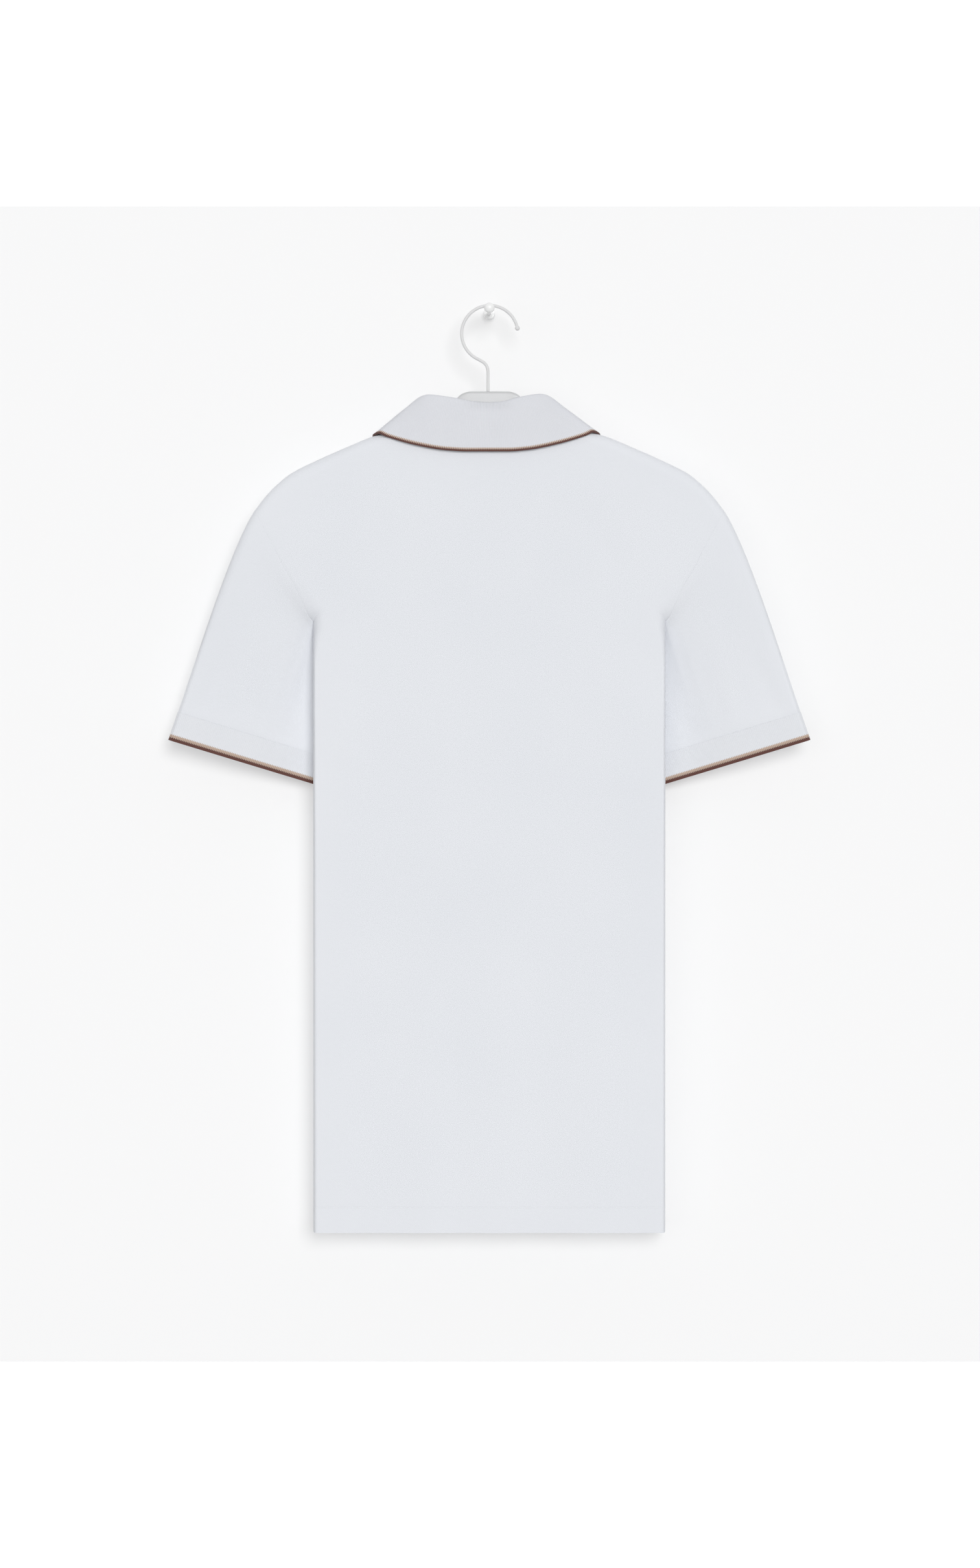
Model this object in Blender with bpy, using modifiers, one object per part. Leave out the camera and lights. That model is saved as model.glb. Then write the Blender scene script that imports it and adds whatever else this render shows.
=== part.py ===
"""Polo shirt hanging on a hanger from a small wall peg.

The wall is the plane Y = 0 and the object stands out from it towards -Y.  +X is to the right and +Z is
up for somebody who looks at the wall and sees the back of the shirt.  The origin is the middle of the
peg's flat foot.  Tables and sizes are in millimetres; meshes are made in metres.
"""
import math
from collections import namedtuple

import bpy
import numpy as np

MM = 0.001

# ---------------------------------------------------------------- driving sizes, mm
HANGER_Y = -34.0            # plane of the hanger, in front of the wall
CLOTH = 1.6                 # wall of the jersey
RIB = 1.8                   # wall of the flat-knit collar and cuffs
GAP = 0.3                   # between pieces at a seam
HIDDEN_GAP = 0.9            # more of it where the armhole turns behind the folded side
HIDDEN_FROM = 0.45           # share of the armhole above that turn
CORNER_GAP = 0.9            # and more again at the underarm
HIDDEN_BLEND = 0.08         # over this part of the armhole the first grows to its full width
CORNER_BLEND = (0.9, 0.98)  # and the second between these two places
HALF_DEPTH = 9.0            # half the depth of the hollow over the hanger
HEM_EXTRA = 1.0             # extra thickness that the turned-up hem adds inside

HEM_Z = -833.0
HEM_HEIGHT = 22.6
UNDERARM_Z = -346.0
SHOULDER_Z = -182.5         # shoulder point, where the armhole starts
SHOULDER_X = 211.2
NECK_X = 79.2               # high point of the shoulder, 6/16 of the shoulder's reach
NECK_Z = -104.0
BACK_NECK_Z = -115.0
FRONT_NECK_Z = -176.0
NECK_SQUARE = 6             # power that keeps the neck opening deep close to its corners
SWELL_REACH = 30.0          # width over which the front swells at the armhole
LIP_RADIUS = 4.0            # small turn of the hidden armhole edge towards the wall
TAPER = 45.0                # width over which the hollow narrows towards the folded side

PANEL_COLUMNS = 16          # from the middle to the side, on each side
TURN_WEIGHT = 19.0          # a radian of bend gets as many columns as this many mm
EDGE_WEIGHT = 36.0          # and the rounded side seam as many as this

# One row for each section of the body, from the hem up the side to the shoulder point.
# reach: where the back ends sideways. bend: radius of the fold at the side. turn: how far the cloth has
# turned there. back: length that runs back behind. lip: turn of the open edge. gap: half the hollow at
# the side. taper: where the hollow has narrowed to it. open: 0 at the side seam, 1 at the armhole.
# swell: how far the front stands towards the wall at the armhole.
Section = namedtuple("Section", "z reach bend turn back lip gap taper open swell")
BODY = [
    Section(-833.0, 158.5, 15.0, 180, 56, 0, 3.2, 84, 0.0, 0.0),
    Section(-650.0, 158.5, 14.5, 180, 57, 0, 3.2, 84, 0.0, 0.0),
    Section(-500.0, 158.5, 13.5, 180, 57, 0, 3.2, 84, 0.0, 0.0),
    Section(-400.0, 158.5, 12.0, 180, 56, 0, 3.2, 84, 0.0, 0.0),
    Section(-346.0, 158.5, 11.0, 180, 54, 0, 3.2, 86, 0.0, 0.0),
    Section(-338.0, 158.5, 10.8, 180, 47, 80, 3.2, 90, 0.8, 0.0),
    Section(-328.0, 158.5, 10.5, 180, 32, 85, 3.2, 98, 1.0, 0.5),
    Section(-316.0, 158.5, 10.3, 180, 14, 80, 3.2, 112, 1.0, 1.5),
    Section(-306.0, 158.5, 10.2, 178, 2, 50, 3.2, 126, 1.0, 3.5),
    Section(-298.0, 158.5, 10.2, 152, 0, 20, 3.2, 136, 1.0, 5.5),
    Section(-290.0, 158.5, 10.2, 122, 0, 0, 3.2, 143, 1.0, 8.0),
    Section(-283.0, 158.5, 10.6, 88, 0, 0, 3.2, 147, 1.0, 9.0),
    Section(-278.0, 162.2, 14.0, 62, 0, 0, 3.4, 149, 1.0, 8.5),
    Section(-272.0, 165.0, 19.0, 42, 0, 0, 3.6, 152, 1.0, 8.0),
    Section(-262.0, 169.5, 28.0, 25, 0, 0, 4.0, 157, 1.0, 6.0),
    Section(-251.0, 174.5, 40.0, 14, 0, 0, 4.6, 163, 1.0, 4.0),
    Section(-234.5, 184.4, 60.0, 5, 0, 0, 5.6, 175, 1.0, 1.5),
    Section(-220.0, 191.4, 60.0, 0, 0, 0, 6.4, 182, 1.0, 0.0),
    Section(-200.0, 202.0, 60.0, 0, 0, 0, 7.2, 192, 1.0, 0.0),
    Section(-182.5, 211.2, 60.0, 0, 0, 0, 8.0, 200, 1.0, 0.0),
]
# Heights of the rows of points, read at the side.
LOWER_ROWS = [-833.0, -811.0, -809.0, -700.0, -580.0, -470.0, -400.0, -346.0]
ARMHOLE_ROWS = [-339.0, -331.0, -322.0, -313.0, -305.0, -297.0, -290.0, -283.0, -277.0, -270.0,
                -260.0, -248.0, -234.5, -218.0, -202.0, -191.5, -186.6, -183.8, -182.5]

ShoulderPoint = namedtuple("ShoulderPoint", "x z")
SHOULDER = [
    ShoulderPoint(79.2, -104.0),
    ShoulderPoint(104.4, -115.4),
    ShoulderPoint(132.5, -127.8),
    ShoulderPoint(153.5, -137.3),
    ShoulderPoint(179.1, -150.1),
    ShoulderPoint(190.2, -159.0),
    ShoulderPoint(201.3, -170.0),
    ShoulderPoint(211.2, -182.5),
]

# Sleeve: its end is a flat ring from the outer to the inner corner.
SLEEVE_OUTER = (280.6, -363.9)
SLEEVE_INNER = (120.6, -413.2)
CUFF_OUTER = (288.6, -387.1)
CUFF_INNER = (130.1, -435.8)
SLEEVE_HALF = 4.6           # half the hollow of the sleeve's end
SLEEVE_ROWS = 9
LEAVE_BEHIND = 36.0         # how strongly the sleeve first turns towards the wall below the fold
LEAVE_FRONT = 60.0          # and how much more its front does
UNDER_WIDTH = 0.05          # part of the armhole, each side of the underarm, that leaves by UNDER_WAY
UNDER_WAY = (-30.0, 46.0, -4.0)
SleeveDepth = namedtuple("SleeveDepth", "across y")     # 0 at the outer corner, 1 at the inner
SLEEVE_DEPTH = [
    SleeveDepth(0.0, 3.0),
    SleeveDepth(0.35, 8.0),
    SleeveDepth(0.7, 20.0),
    SleeveDepth(0.85, 23.5),
    SleeveDepth(1.0, 24.0),
]

# Collar: one row for each station from the centre back round to the centre front.
# around: share of the neckline's half width, on the back up to the largest and on the front after it;
# then the crest of the fold and the outer edge of the fall. Y is from the hanger plane.
Station = namedtuple("Station", "around fold_x fold_y fold_z edge_x edge_y edge_z")
COLLAR = [
    Station(0.0, 0.0, -10.0, -85.0, 0.0, -12.8, -130.0),
    Station(0.22, 14.0, -10.0, -84.0, 18.0, -12.8, -130.0),
    Station(0.44, 28.0, -9.8, -81.5, 37.0, -12.8, -128.5),
    Station(0.78, 51.0, -9.0, -78.0, 66.0, -12.6, -122.5),
    Station(0.945, 60.0, -6.5, -80.0, 90.0, -11.4, -114.5),
    Station(0.985, 62.5, -4.0, -82.0, 98.5, -8.2, -111.0),
    Station(0.997, 63.5, -1.0, -84.0, 104.0, -1.0, -112.0),
    Station(0.985, 63.0, 3.0, -87.0, 105.5, 7.5, -113.5),
    Station(0.945, 61.0, 6.0, -92.0, 105.0, 11.8, -126.0),
    Station(0.78, 50.0, 10.0, -112.0, 97.0, 13.2, -153.0),
    Station(0.47, 31.0, 12.0, -141.0, 80.0, 14.0, -184.0),
    Station(0.04, 6.0, 13.5, -163.0, 56.0, 14.6, -212.0),
]
COLLAR_INSET = 5.5          # the stand is sewn just inside the neckline
COLLAR_COLUMNS = 18         # on each side
STAND_DEPTH = 6.0           # of the stand's foot from the hanger plane
STAND_SQUARE = 4            # power of the stand's foot line in plan
STAND_TUCK = 3.0            # how far the stand reaches below the neckline
STAND_PARTS = 4
FALL_PARTS = 5
FOLD_WAY = 14.0             # how roundly the collar goes over its crest

PLACKET_WIDTH = 32.0
PLACKET_TOP = -178.0
PLACKET_BOTTOM = -330.0
PLACKET_WALL = 1.4
UNDER_FROM = -14.0          # the under strip, beside and below the collar's ends
UNDER_TO = 18.0
UNDER_TOP = -183.0
UNDER_BOTTOM = -326.0
BUTTON_RADIUS = 5.5
BUTTON_THICK = 2.4
BUTTON_ROUND = 0.7
BUTTON_Z = (-188.0, -238.0, -288.0)

# Hanger bar: one row for each section from the middle outwards.
BarSection = namedtuple("BarSection", "x top bottom half")
BAR = [
    BarSection(0.0, -74.6, -128.0, 4.8),
    BarSection(17.0, -74.6, -128.5, 4.8),
    BarSection(24.0, -76.4, -129.0, 4.8),
    BarSection(29.0, -80.4, -129.5, 4.8),
    BarSection(34.0, -89.0, -130.0, 4.7),
    BarSection(44.0, -102.0, -131.5, 4.1),
    BarSection(60.0, -112.5, -134.5, 3.0),
    BarSection(67.0, -117.0, -135.5, 1.8),
    BarSection(72.0, -118.0, -137.0, 2.0),
    BarSection(79.0, -118.5, -139.0, 2.6),
    BarSection(104.4, -119.5, -145.0, 3.8),
    BarSection(132.5, -131.0, -153.0, 4.2),
    BarSection(153.5, -140.6, -160.0, 4.0),
    BarSection(179.1, -154.0, -169.0, 3.6),
    BarSection(188.0, -161.5, -171.5, 3.0),
    BarSection(193.0, -165.5, -170.5, 1.8),
]
BAR_CORNER = 2.4            # radius of the bar's long corners

WIRE_RADIUS = 1.4
HOOK_RADIUS = 25.4
HOOK_CENTRE = (0.4, -22.1)
HOOK_FROM = 15.0            # degrees, at the tip
HOOK_TO = 246.0             # degrees, where the wire leaves the round
HOOK_PARTS = 34
STEM = [(-4.8, -48.2), (-2.2, -51.8), (-1.2, -57.0), (-1.2, -66.0), (-1.2, -74.3)]
KNOB_RADIUS = 2.2
KNOB_PARTS = 6

PEG_FOOT_RADIUS = 5.3
PEG_FOOT_LENGTH = 7.0
PEG_FOOT_ROUND = 0.8
PEG_SHANK_RADIUS = 1.6
PEG_HEAD_RADIUS = 4.7
PEG_HEAD_OUT = 42.0         # middle of the ball, in front of the wall
TURNED_STEPS = 24

WHITE_JERSEY = (0.80, 0.82, 0.85)
WHITE_RIB = (0.82, 0.83, 0.86)
WHITE_PLASTIC = (0.78, 0.78, 0.77)
WHITE_PAINT = (0.72, 0.72, 0.70)


# ---------------------------------------------------------------- scene and materials
def clear_scene():
    for old in list(bpy.data.objects):
        bpy.data.objects.remove(old, do_unlink=True)


def material(name, colour, roughness, metallic=0.0):
    made = bpy.data.materials.new(name)
    made.use_nodes = True
    shader = made.node_tree.nodes["Principled BSDF"]
    shader.inputs["Base Color"].default_value = (*colour, 1.0)
    shader.inputs["Roughness"].default_value = roughness
    shader.inputs["Metallic"].default_value = metallic
    return made


def collection():
    made = bpy.data.collections.new("polo_shirt")
    bpy.context.scene.collection.children.link(made)
    return made


def add_mesh(name, points, faces, finish, home, smooth=60.0):
    """Mesh object from points in mm and faces."""
    mesh = bpy.data.meshes.new(name)
    mesh.from_pydata((np.asarray(points) * MM).tolist(), [], faces)
    mesh.materials.append(finish)
    mesh.shade_smooth()
    mesh.set_sharp_from_angle(angle=math.radians(smooth))
    made = bpy.data.objects.new(name, mesh)
    home.objects.link(made)
    return made


# ---------------------------------------------------------------- small mathematics
def smooth_table(at, knots, values):
    """Curve through a table that never overshoots it: cubic pieces with harmonic-mean slopes."""
    knots = np.asarray(knots, float)
    values = np.asarray(values, float)
    width = np.diff(knots)
    slope = np.diff(values) / width
    tangent = np.zeros(len(knots))
    same = slope[:-1] * slope[1:] > 0.0
    inner = np.where(same, 2.0 * slope[:-1] * slope[1:] / np.where(same, slope[:-1] + slope[1:], 1.0), 0.0)
    tangent[1:-1] = inner
    tangent[0] = slope[0]
    tangent[-1] = slope[-1]
    at = np.clip(at, knots[0], knots[-1])
    cell = np.clip(np.searchsorted(knots, at, side="right") - 1, 0, len(width) - 1)
    t = (at - knots[cell]) / width[cell]
    return ((1 + 2 * t) * (1 - t) ** 2 * values[cell] + t * (1 - t) ** 2 * width[cell] * tangent[cell]
            + t * t * (3 - 2 * t) * values[cell + 1] - t * t * (1 - t) * width[cell] * tangent[cell + 1])


def column(table, field):
    return [getattr(row, field) for row in table]


def smoothstep(low, high, value):
    t = np.clip((value - low) / (high - low), 0.0, 1.0)
    return t * t * (3.0 - 2.0 * t)


def unit(vectors):
    length = np.linalg.norm(vectors, axis=-1, keepdims=True)
    return vectors / np.maximum(length, 1e-9)


def hermite(start, start_way, end, end_way, t):
    """Cubic curve with given ends and end directions, for every row of points at once."""
    return ((1 + 2 * t) * (1 - t) ** 2 * start + t * (1 - t) ** 2 * start_way
            + t * t * (3 - 2 * t) * end - t * t * (1 - t) * end_way)


def tangents(grid, axis, ring=False):
    """Directions along one axis of a grid: at each point the mean of the unit steps on both sides."""
    if ring:
        steps = unit(np.roll(grid, -1, axis=axis) - grid)
        return unit(steps + np.roll(steps, 1, axis=axis))
    steps = unit(np.diff(grid, axis=axis))
    first = np.take(steps, [0], axis=axis)
    last = np.take(steps, [-1], axis=axis)
    return unit(np.concatenate([first, steps], axis=axis) + np.concatenate([steps, last], axis=axis))


def grid_normals(grid, outward, ring=False):
    """Unit normals of a grid of points; outward is +1 or -1 times rows cross columns."""
    return outward * unit(np.cross(tangents(grid, 0), tangents(grid, 1, ring)))


# ---------------------------------------------------------------- cloth as walls
def pull_back(grid, normal, edge, beside, distance):
    """Moves one edge of a grid back along its own surface, away from the seam."""
    way = grid[beside] - grid[edge]
    way = way - normal[edge] * np.sum(way * normal[edge], axis=-1, keepdims=True)
    grid[edge] = grid[edge] + unit(way) * distance


def wall(name, grid, normal, finish, home, outer, inner, ring=False):
    """Closed wall round a grid of middle points: outer and inner are the offsets to its two faces."""
    rows, columns = grid.shape[:2]
    outside = grid + normal * np.reshape(outer, (-1, 1, 1))
    inside = grid - normal * np.reshape(inner, (-1, 1, 1))
    points = np.concatenate([outside.reshape(-1, 3), inside.reshape(-1, 3)])
    index = np.arange(rows * columns).reshape(rows, columns)
    last = columns if ring else columns - 1
    faces = []
    for r in range(rows - 1):
        for c in range(last):
            d = (c + 1) % columns
            faces.append((index[r, c], index[r, d], index[r + 1, d], index[r + 1, c]))
    corner = points[np.array(faces)]
    facing = np.cross(corner[:, 1] - corner[:, 0], corner[:, 3] - corner[:, 0])
    flat_normal = normal.reshape(-1, 3)[np.array(faces)[:, 0]]
    turned = bool(np.sum(facing * flat_normal) < 0.0)
    if turned:
        faces = [(a, d, c, b) for a, b, c, d in faces]
    count = rows * columns
    faces += [(a + count, d + count, c + count, b + count) for a, b, c, d in list(faces)]
    for r, way in ((0, 1), (rows - 1, -1)):
        for c in range(last):
            d = (c + 1) % columns
            a, b = index[r, c], index[r, d]
            faces.append(side_face(a, b, count, way > 0, turned))
    if not ring:
        for c, way in ((0, -1), (columns - 1, 1)):
            for r in range(rows - 1):
                a, b = index[r, c], index[r + 1, c]
                faces.append(side_face(a, b, count, way > 0, turned))
    faces = [tuple(int(i) for i in face) for face in faces]
    return add_mesh(name, points, faces, finish, home)


def side_face(a, b, count, forward, turned):
    """Face that closes a wall along one edge, from outside point a-b to the inside points."""
    if forward != turned:
        return (b, a, a + count, b + count)
    return (a, b, b + count, a + count)


# ---------------------------------------------------------------- body
def body_section(z):
    """Sizes of the body's section whose side lies at height z."""
    heights = column(BODY, "z")
    return Section(*[smooth_table(np.array(z, float), heights, column(BODY, field))
                     for field in Section._fields])


def section_curve(z, samples=700):
    """Back sheet's curve in plan at side height z: length, x, y, its direction and the section."""
    cut = body_section(z)
    turn = math.radians(float(cut.turn))
    lip = math.radians(float(cut.lip))
    bend = float(cut.bend)
    straight = float(cut.reach) - bend * math.sin(min(turn, math.pi / 2))
    lengths = [straight, bend * turn, float(cut.back), LIP_RADIUS * lip]
    ends = np.cumsum(lengths)
    s = np.linspace(0.0, ends[-1], samples)
    angle = np.clip((s - ends[0]) / bend, 0.0, turn) - np.clip((s - ends[2]) / LIP_RADIUS, 0.0, lip)
    step = np.diff(s)
    x = np.concatenate([[0.0], np.cumsum(step * np.cos((angle[1:] + angle[:-1]) / 2))])
    y = np.concatenate([[0.0], np.cumsum(step * np.sin((angle[1:] + angle[:-1]) / 2))]) - HALF_DEPTH
    return s, x, y, angle, cut


def spread_columns(s, angle, cut, columns):
    """Places of the columns along a section: even by length, closer where the cloth bends."""
    turning = np.concatenate([[0.0], np.abs(np.diff(angle))])
    step = np.concatenate([[0.0], np.diff(s)])
    seam = float(cut.gap)
    near_seam = np.where(s > s[-1] - seam, step / seam, 0.0) * (1.0 - float(cut.open))
    weight = np.cumsum(step + TURN_WEIGHT * turning + EDGE_WEIGHT * near_seam)
    return np.interp(np.linspace(0.0, weight[-1], columns + 1), weight, s)


def top_line(x, front):
    """Height of the neckline and the shoulder seam above x."""
    inward = np.clip(x / NECK_X, 0.0, 1.0)
    if front:
        neck = FRONT_NECK_Z + (NECK_Z - FRONT_NECK_Z) * inward ** 2.2
    else:
        neck = BACK_NECK_Z + (NECK_Z - BACK_NECK_Z) * inward ** 2
    shoulder = smooth_table(x, column(SHOULDER, "x"), column(SHOULDER, "z"))
    return np.where(x < NECK_X, neck, shoulder)


def half_panel(front, side_rows, columns):
    """Middle points of one half of the back or the front: rows from the hem up, columns outwards.

    The back follows its section's curve. The front is the same curve moved in by twice the half gap.
    Where they meet, at the side seam and the shoulder seam, both close on each other in a quarter round.
    """
    top_x = SHOULDER_X * np.arange(columns + 1) / columns
    top_z = top_line(top_x, front)
    closing = np.clip(top_x / NECK_X, 0.0, 1.0) ** NECK_SQUARE
    grid = np.zeros((len(side_rows), columns + 1, 3))
    for r, z_side in enumerate(side_rows):
        s, x, y, angle, cut = section_curve(z_side)
        place = spread_columns(s, angle, cut, columns)
        px = np.interp(place, s, x)
        py = np.interp(place, s, y)
        pa = np.interp(place, s, angle)
        narrowed = smoothstep(float(cut.taper) - TAPER, float(cut.taper), place)
        half = HALF_DEPTH + (float(cut.gap) - HALF_DEPTH) * narrowed
        from_seam = np.clip((s[-1] - place) / float(cut.gap), 0.0, 1.0)
        close = np.sqrt(1.0 - (1.0 - float(cut.open)) * (1.0 - from_seam) ** 2)
        rise = max(0.0, (z_side - UNDERARM_Z) / (SHOULDER_Z - UNDERARM_Z))
        above = top_line(place / s[-1] * SHOULDER_X, front)
        z = np.where(rise > 0.0, UNDERARM_Z + rise * (above - UNDERARM_Z), z_side)
        below = np.clip((top_z - z) / HALF_DEPTH, 0.0, 1.0)
        close = close * np.sqrt(np.maximum(1.0 - closing * (1.0 - below) ** 2, 0.0))
        inward = half * (1.0 + close) if front else half * (1.0 - close)
        grid[r, :, 0] = px - np.sin(pa) * inward
        grid[r, :, 1] = py + np.cos(pa) * inward + HANGER_Y
        if front:
            grid[r, :, 1] += float(cut.swell) * smoothstep(s[-1] - SWELL_REACH, s[-1], place)
        grid[r, :, 2] = z
    return grid


def mirrored(grid):
    """Whole panel from its right half."""
    left = grid[:, :0:-1].copy()
    left[..., 0] *= -1.0
    return np.concatenate([left, grid], axis=1)


def mirror_x(grid):
    """The same grid on the other side."""
    flipped = grid.copy()
    flipped[..., 0] *= -1.0
    return flipped


# ---------------------------------------------------------------- sleeve and cuff
def flat_ring(outer, inner, around, half):
    """Flattened ring from the outer corner along the back to the inner corner and back along the front.

    around runs from 0 to 2: 0 is the outer corner and 1 the inner one.
    """
    across = np.where(around <= 1.0, around, 2.0 - around)
    side = np.where(around <= 1.0, -1.0, 1.0)
    side = np.where((around == 0.0) | (around == 1.0), 0.0, side)
    corner = np.minimum(across, 1.0 - across) * np.hypot(outer[0] - inner[0], outer[1] - inner[1])
    round_off = np.sqrt(1.0 - (1.0 - np.clip(corner / half, 0.0, 1.0)) ** 2)
    depth = smooth_table(across, column(SLEEVE_DEPTH, "across"), column(SLEEVE_DEPTH, "y"))
    ring = np.zeros((len(around), 3))
    ring[:, 0] = outer[0] + (inner[0] - outer[0]) * across
    ring[:, 1] = HANGER_Y + depth + side * half * round_off
    ring[:, 2] = outer[1] + (inner[1] - outer[1]) * across
    return ring


def ring_places(edge):
    """How far round each armhole point is, 0 at the shoulder, 1 under the arm, by length."""
    length = np.concatenate([[0.0], np.cumsum(np.linalg.norm(np.diff(edge, axis=0), axis=1))])
    return length / length[-1]


def sleeve_grid(back_edge, front_edge):
    """Sleeve as rings from the armhole to the cuff seam.

    The edges run from the shoulder point down to the underarm. Each lengthwise line is a cubic curve from
    the armhole to the flat ring of the cuff seam: it leaves along its own span, and the lower it starts
    the more it first turns towards the wall, to pass behind the folded side of the body.
    """
    armhole = np.concatenate([back_edge, front_edge[-2:0:-1]])
    places = ring_places(back_edge)
    around = np.concatenate([places, 2.0 - places[-2:0:-1]])
    across = np.minimum(around, 2.0 - around)
    end = flat_ring(SLEEVE_OUTER, SLEEVE_INNER, around, SLEEVE_HALF)
    span = end - armhole
    start_way = span * np.array([0.55, 0.0, 0.55])
    start_way[:, 1] = LEAVE_BEHIND * smoothstep(0.26, 0.58, across)
    start_way[:, 1] += np.where(around > 1.0, LEAVE_FRONT, 0.0) * smoothstep(0.05, 0.5, across)
    under = np.exp(-((around - 1.0) / UNDER_WIDTH) ** 2)[:, None]
    start_way = start_way * (1.0 - under) + under * np.array(UNDER_WAY)
    axis = unit(np.array([CUFF_OUTER[0] - SLEEVE_OUTER[0], 0.0, CUFF_OUTER[1] - SLEEVE_OUTER[1]]))
    end_way = axis * np.linalg.norm(span, axis=1, keepdims=True) * 0.9
    steps = np.linspace(0.0, 1.0, SLEEVE_ROWS + 1) ** 1.4
    return np.stack([hermite(armhole, start_way, end, end_way, t) for t in steps]), around


def cuff_grid(around):
    """Rib band from the cuff seam to its edge."""
    rows = []
    for t in (0.0, 0.5, 1.0):
        outer = [SLEEVE_OUTER[i] + (CUFF_OUTER[i] - SLEEVE_OUTER[i]) * t for i in (0, 1)]
        inner = [SLEEVE_INNER[i] + (CUFF_INNER[i] - SLEEVE_INNER[i]) * t for i in (0, 1)]
        rows.append(flat_ring(outer, inner, around, SLEEVE_HALF))
    return np.stack(rows)


# ---------------------------------------------------------------- the sewn pieces
def make_shirt(home, jersey, rib):
    side_rows = LOWER_ROWS + ARMHOLE_ROWS
    half_back = half_panel(False, side_rows, PANEL_COLUMNS)
    half_front = half_panel(True, side_rows, PANEL_COLUMNS)
    back = mirrored(half_back)
    front = mirrored(half_front)
    back_normal = grid_normals(back, 1.0)
    front_normal = grid_normals(front, -1.0)
    if back_normal[3, PANEL_COLUMNS, 1] > 0.0:
        back_normal = -back_normal
    if front_normal[3, PANEL_COLUMNS, 1] < 0.0:
        front_normal = -front_normal

    first_open = len(LOWER_ROWS) - 1
    arm_rows = np.arange(len(side_rows) - 1, first_open - 1, -1)
    sleeve, around = sleeve_grid(half_back[arm_rows, -1], half_front[arm_rows, -1])
    sleeve_normal = grid_normals(sleeve, 1.0, ring=True)
    middle = sleeve.mean(axis=1, keepdims=True)
    if np.sum((sleeve - middle) * sleeve_normal) < 0.0:
        sleeve_normal = -sleeve_normal

    share_seams(back_normal, front_normal, sleeve_normal, arm_rows, first_open)
    cuff = cuff_grid(around)
    cuff_normal = grid_normals(cuff, 1.0, ring=True)
    if np.sum((cuff - cuff.mean(axis=1, keepdims=True)) * cuff_normal) < 0.0:
        cuff_normal = -cuff_normal
    joint = unit(cuff_normal[0] + sleeve_normal[-1])
    cuff_normal[0] = joint
    sleeve_normal[-1] = joint

    for grid, normal in ((back, back_normal), (front, front_normal)):
        last = grid.shape[1] - 1
        pull_back(grid, normal, np.s_[:, 0], np.s_[:, 1], GAP / 2)
        pull_back(grid, normal, np.s_[:, last], np.s_[:, last - 1], GAP / 2)
        pull_back(grid, normal, np.s_[-1, :], np.s_[-2, :], GAP / 2)
    across = np.minimum(around, 2.0 - around)[:, None]
    apart = GAP / 2 + HIDDEN_GAP * smoothstep(HIDDEN_FROM, HIDDEN_FROM + HIDDEN_BLEND, across)
    apart = apart + CORNER_GAP * smoothstep(*CORNER_BLEND, across)
    pull_back(sleeve, sleeve_normal, np.s_[0], np.s_[1], apart)
    pull_back(sleeve, sleeve_normal, np.s_[-1], np.s_[-2], GAP / 2)
    pull_back(cuff, cuff_normal, np.s_[0], np.s_[1], GAP / 2)

    hem = np.where(np.array(side_rows) < HEM_Z + HEM_HEIGHT, HEM_EXTRA, 0.0)
    wall("back", back, back_normal, jersey, home, CLOTH / 2, CLOTH / 2 + hem)
    wall("front", front, front_normal, jersey, home, CLOTH / 2, CLOTH / 2 + hem)
    for label, place in (("right", lambda g: g), ("left", mirror_x)):
        wall("sleeve_" + label, place(sleeve), place(sleeve_normal), jersey, home,
             CLOTH / 2, CLOTH / 2, ring=True)
        wall("cuff_" + label, place(cuff), place(cuff_normal), rib, home, RIB / 2, RIB / 2, ring=True)


def share_seams(back_normal, front_normal, sleeve_normal, arm_rows, first_open):
    """Gives both sides of each seam the same normal, so that their edges face each other squarely."""
    for column_index in (0, -1):
        joint = unit(back_normal[:first_open, column_index] + front_normal[:first_open, column_index])
        back_normal[:first_open, column_index] = joint
        front_normal[:first_open, column_index] = joint
    for c in range(back_normal.shape[1]):
        if abs(c - PANEL_COLUMNS) >= PANEL_COLUMNS * NECK_X / SHOULDER_X - 0.5:
            joint = unit(back_normal[-1, c] + front_normal[-1, c])
            back_normal[-1, c] = joint
            front_normal[-1, c] = joint
    count = len(arm_rows)
    flip = np.array([-1.0, 1.0, 1.0])
    for k in range(count):
        row = arm_rows[k]
        joint = unit(back_normal[row, -1] + sleeve_normal[0, k])
        if k in (0, count - 1):
            joint = unit(back_normal[row, -1] + front_normal[row, -1] + sleeve_normal[0, k])
            front_normal[row, -1] = joint
            front_normal[row, 0] = joint * flip
        back_normal[row, -1] = joint
        back_normal[row, 0] = joint * flip
        sleeve_normal[0, k] = joint
    for k in range(1, count - 1):
        row = arm_rows[k]
        ring_index = 2 * (count - 1) - k
        joint = unit(front_normal[row, -1] + sleeve_normal[0, ring_index])
        front_normal[row, -1] = joint
        front_normal[row, 0] = joint * flip
        sleeve_normal[0, ring_index] = joint


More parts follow.
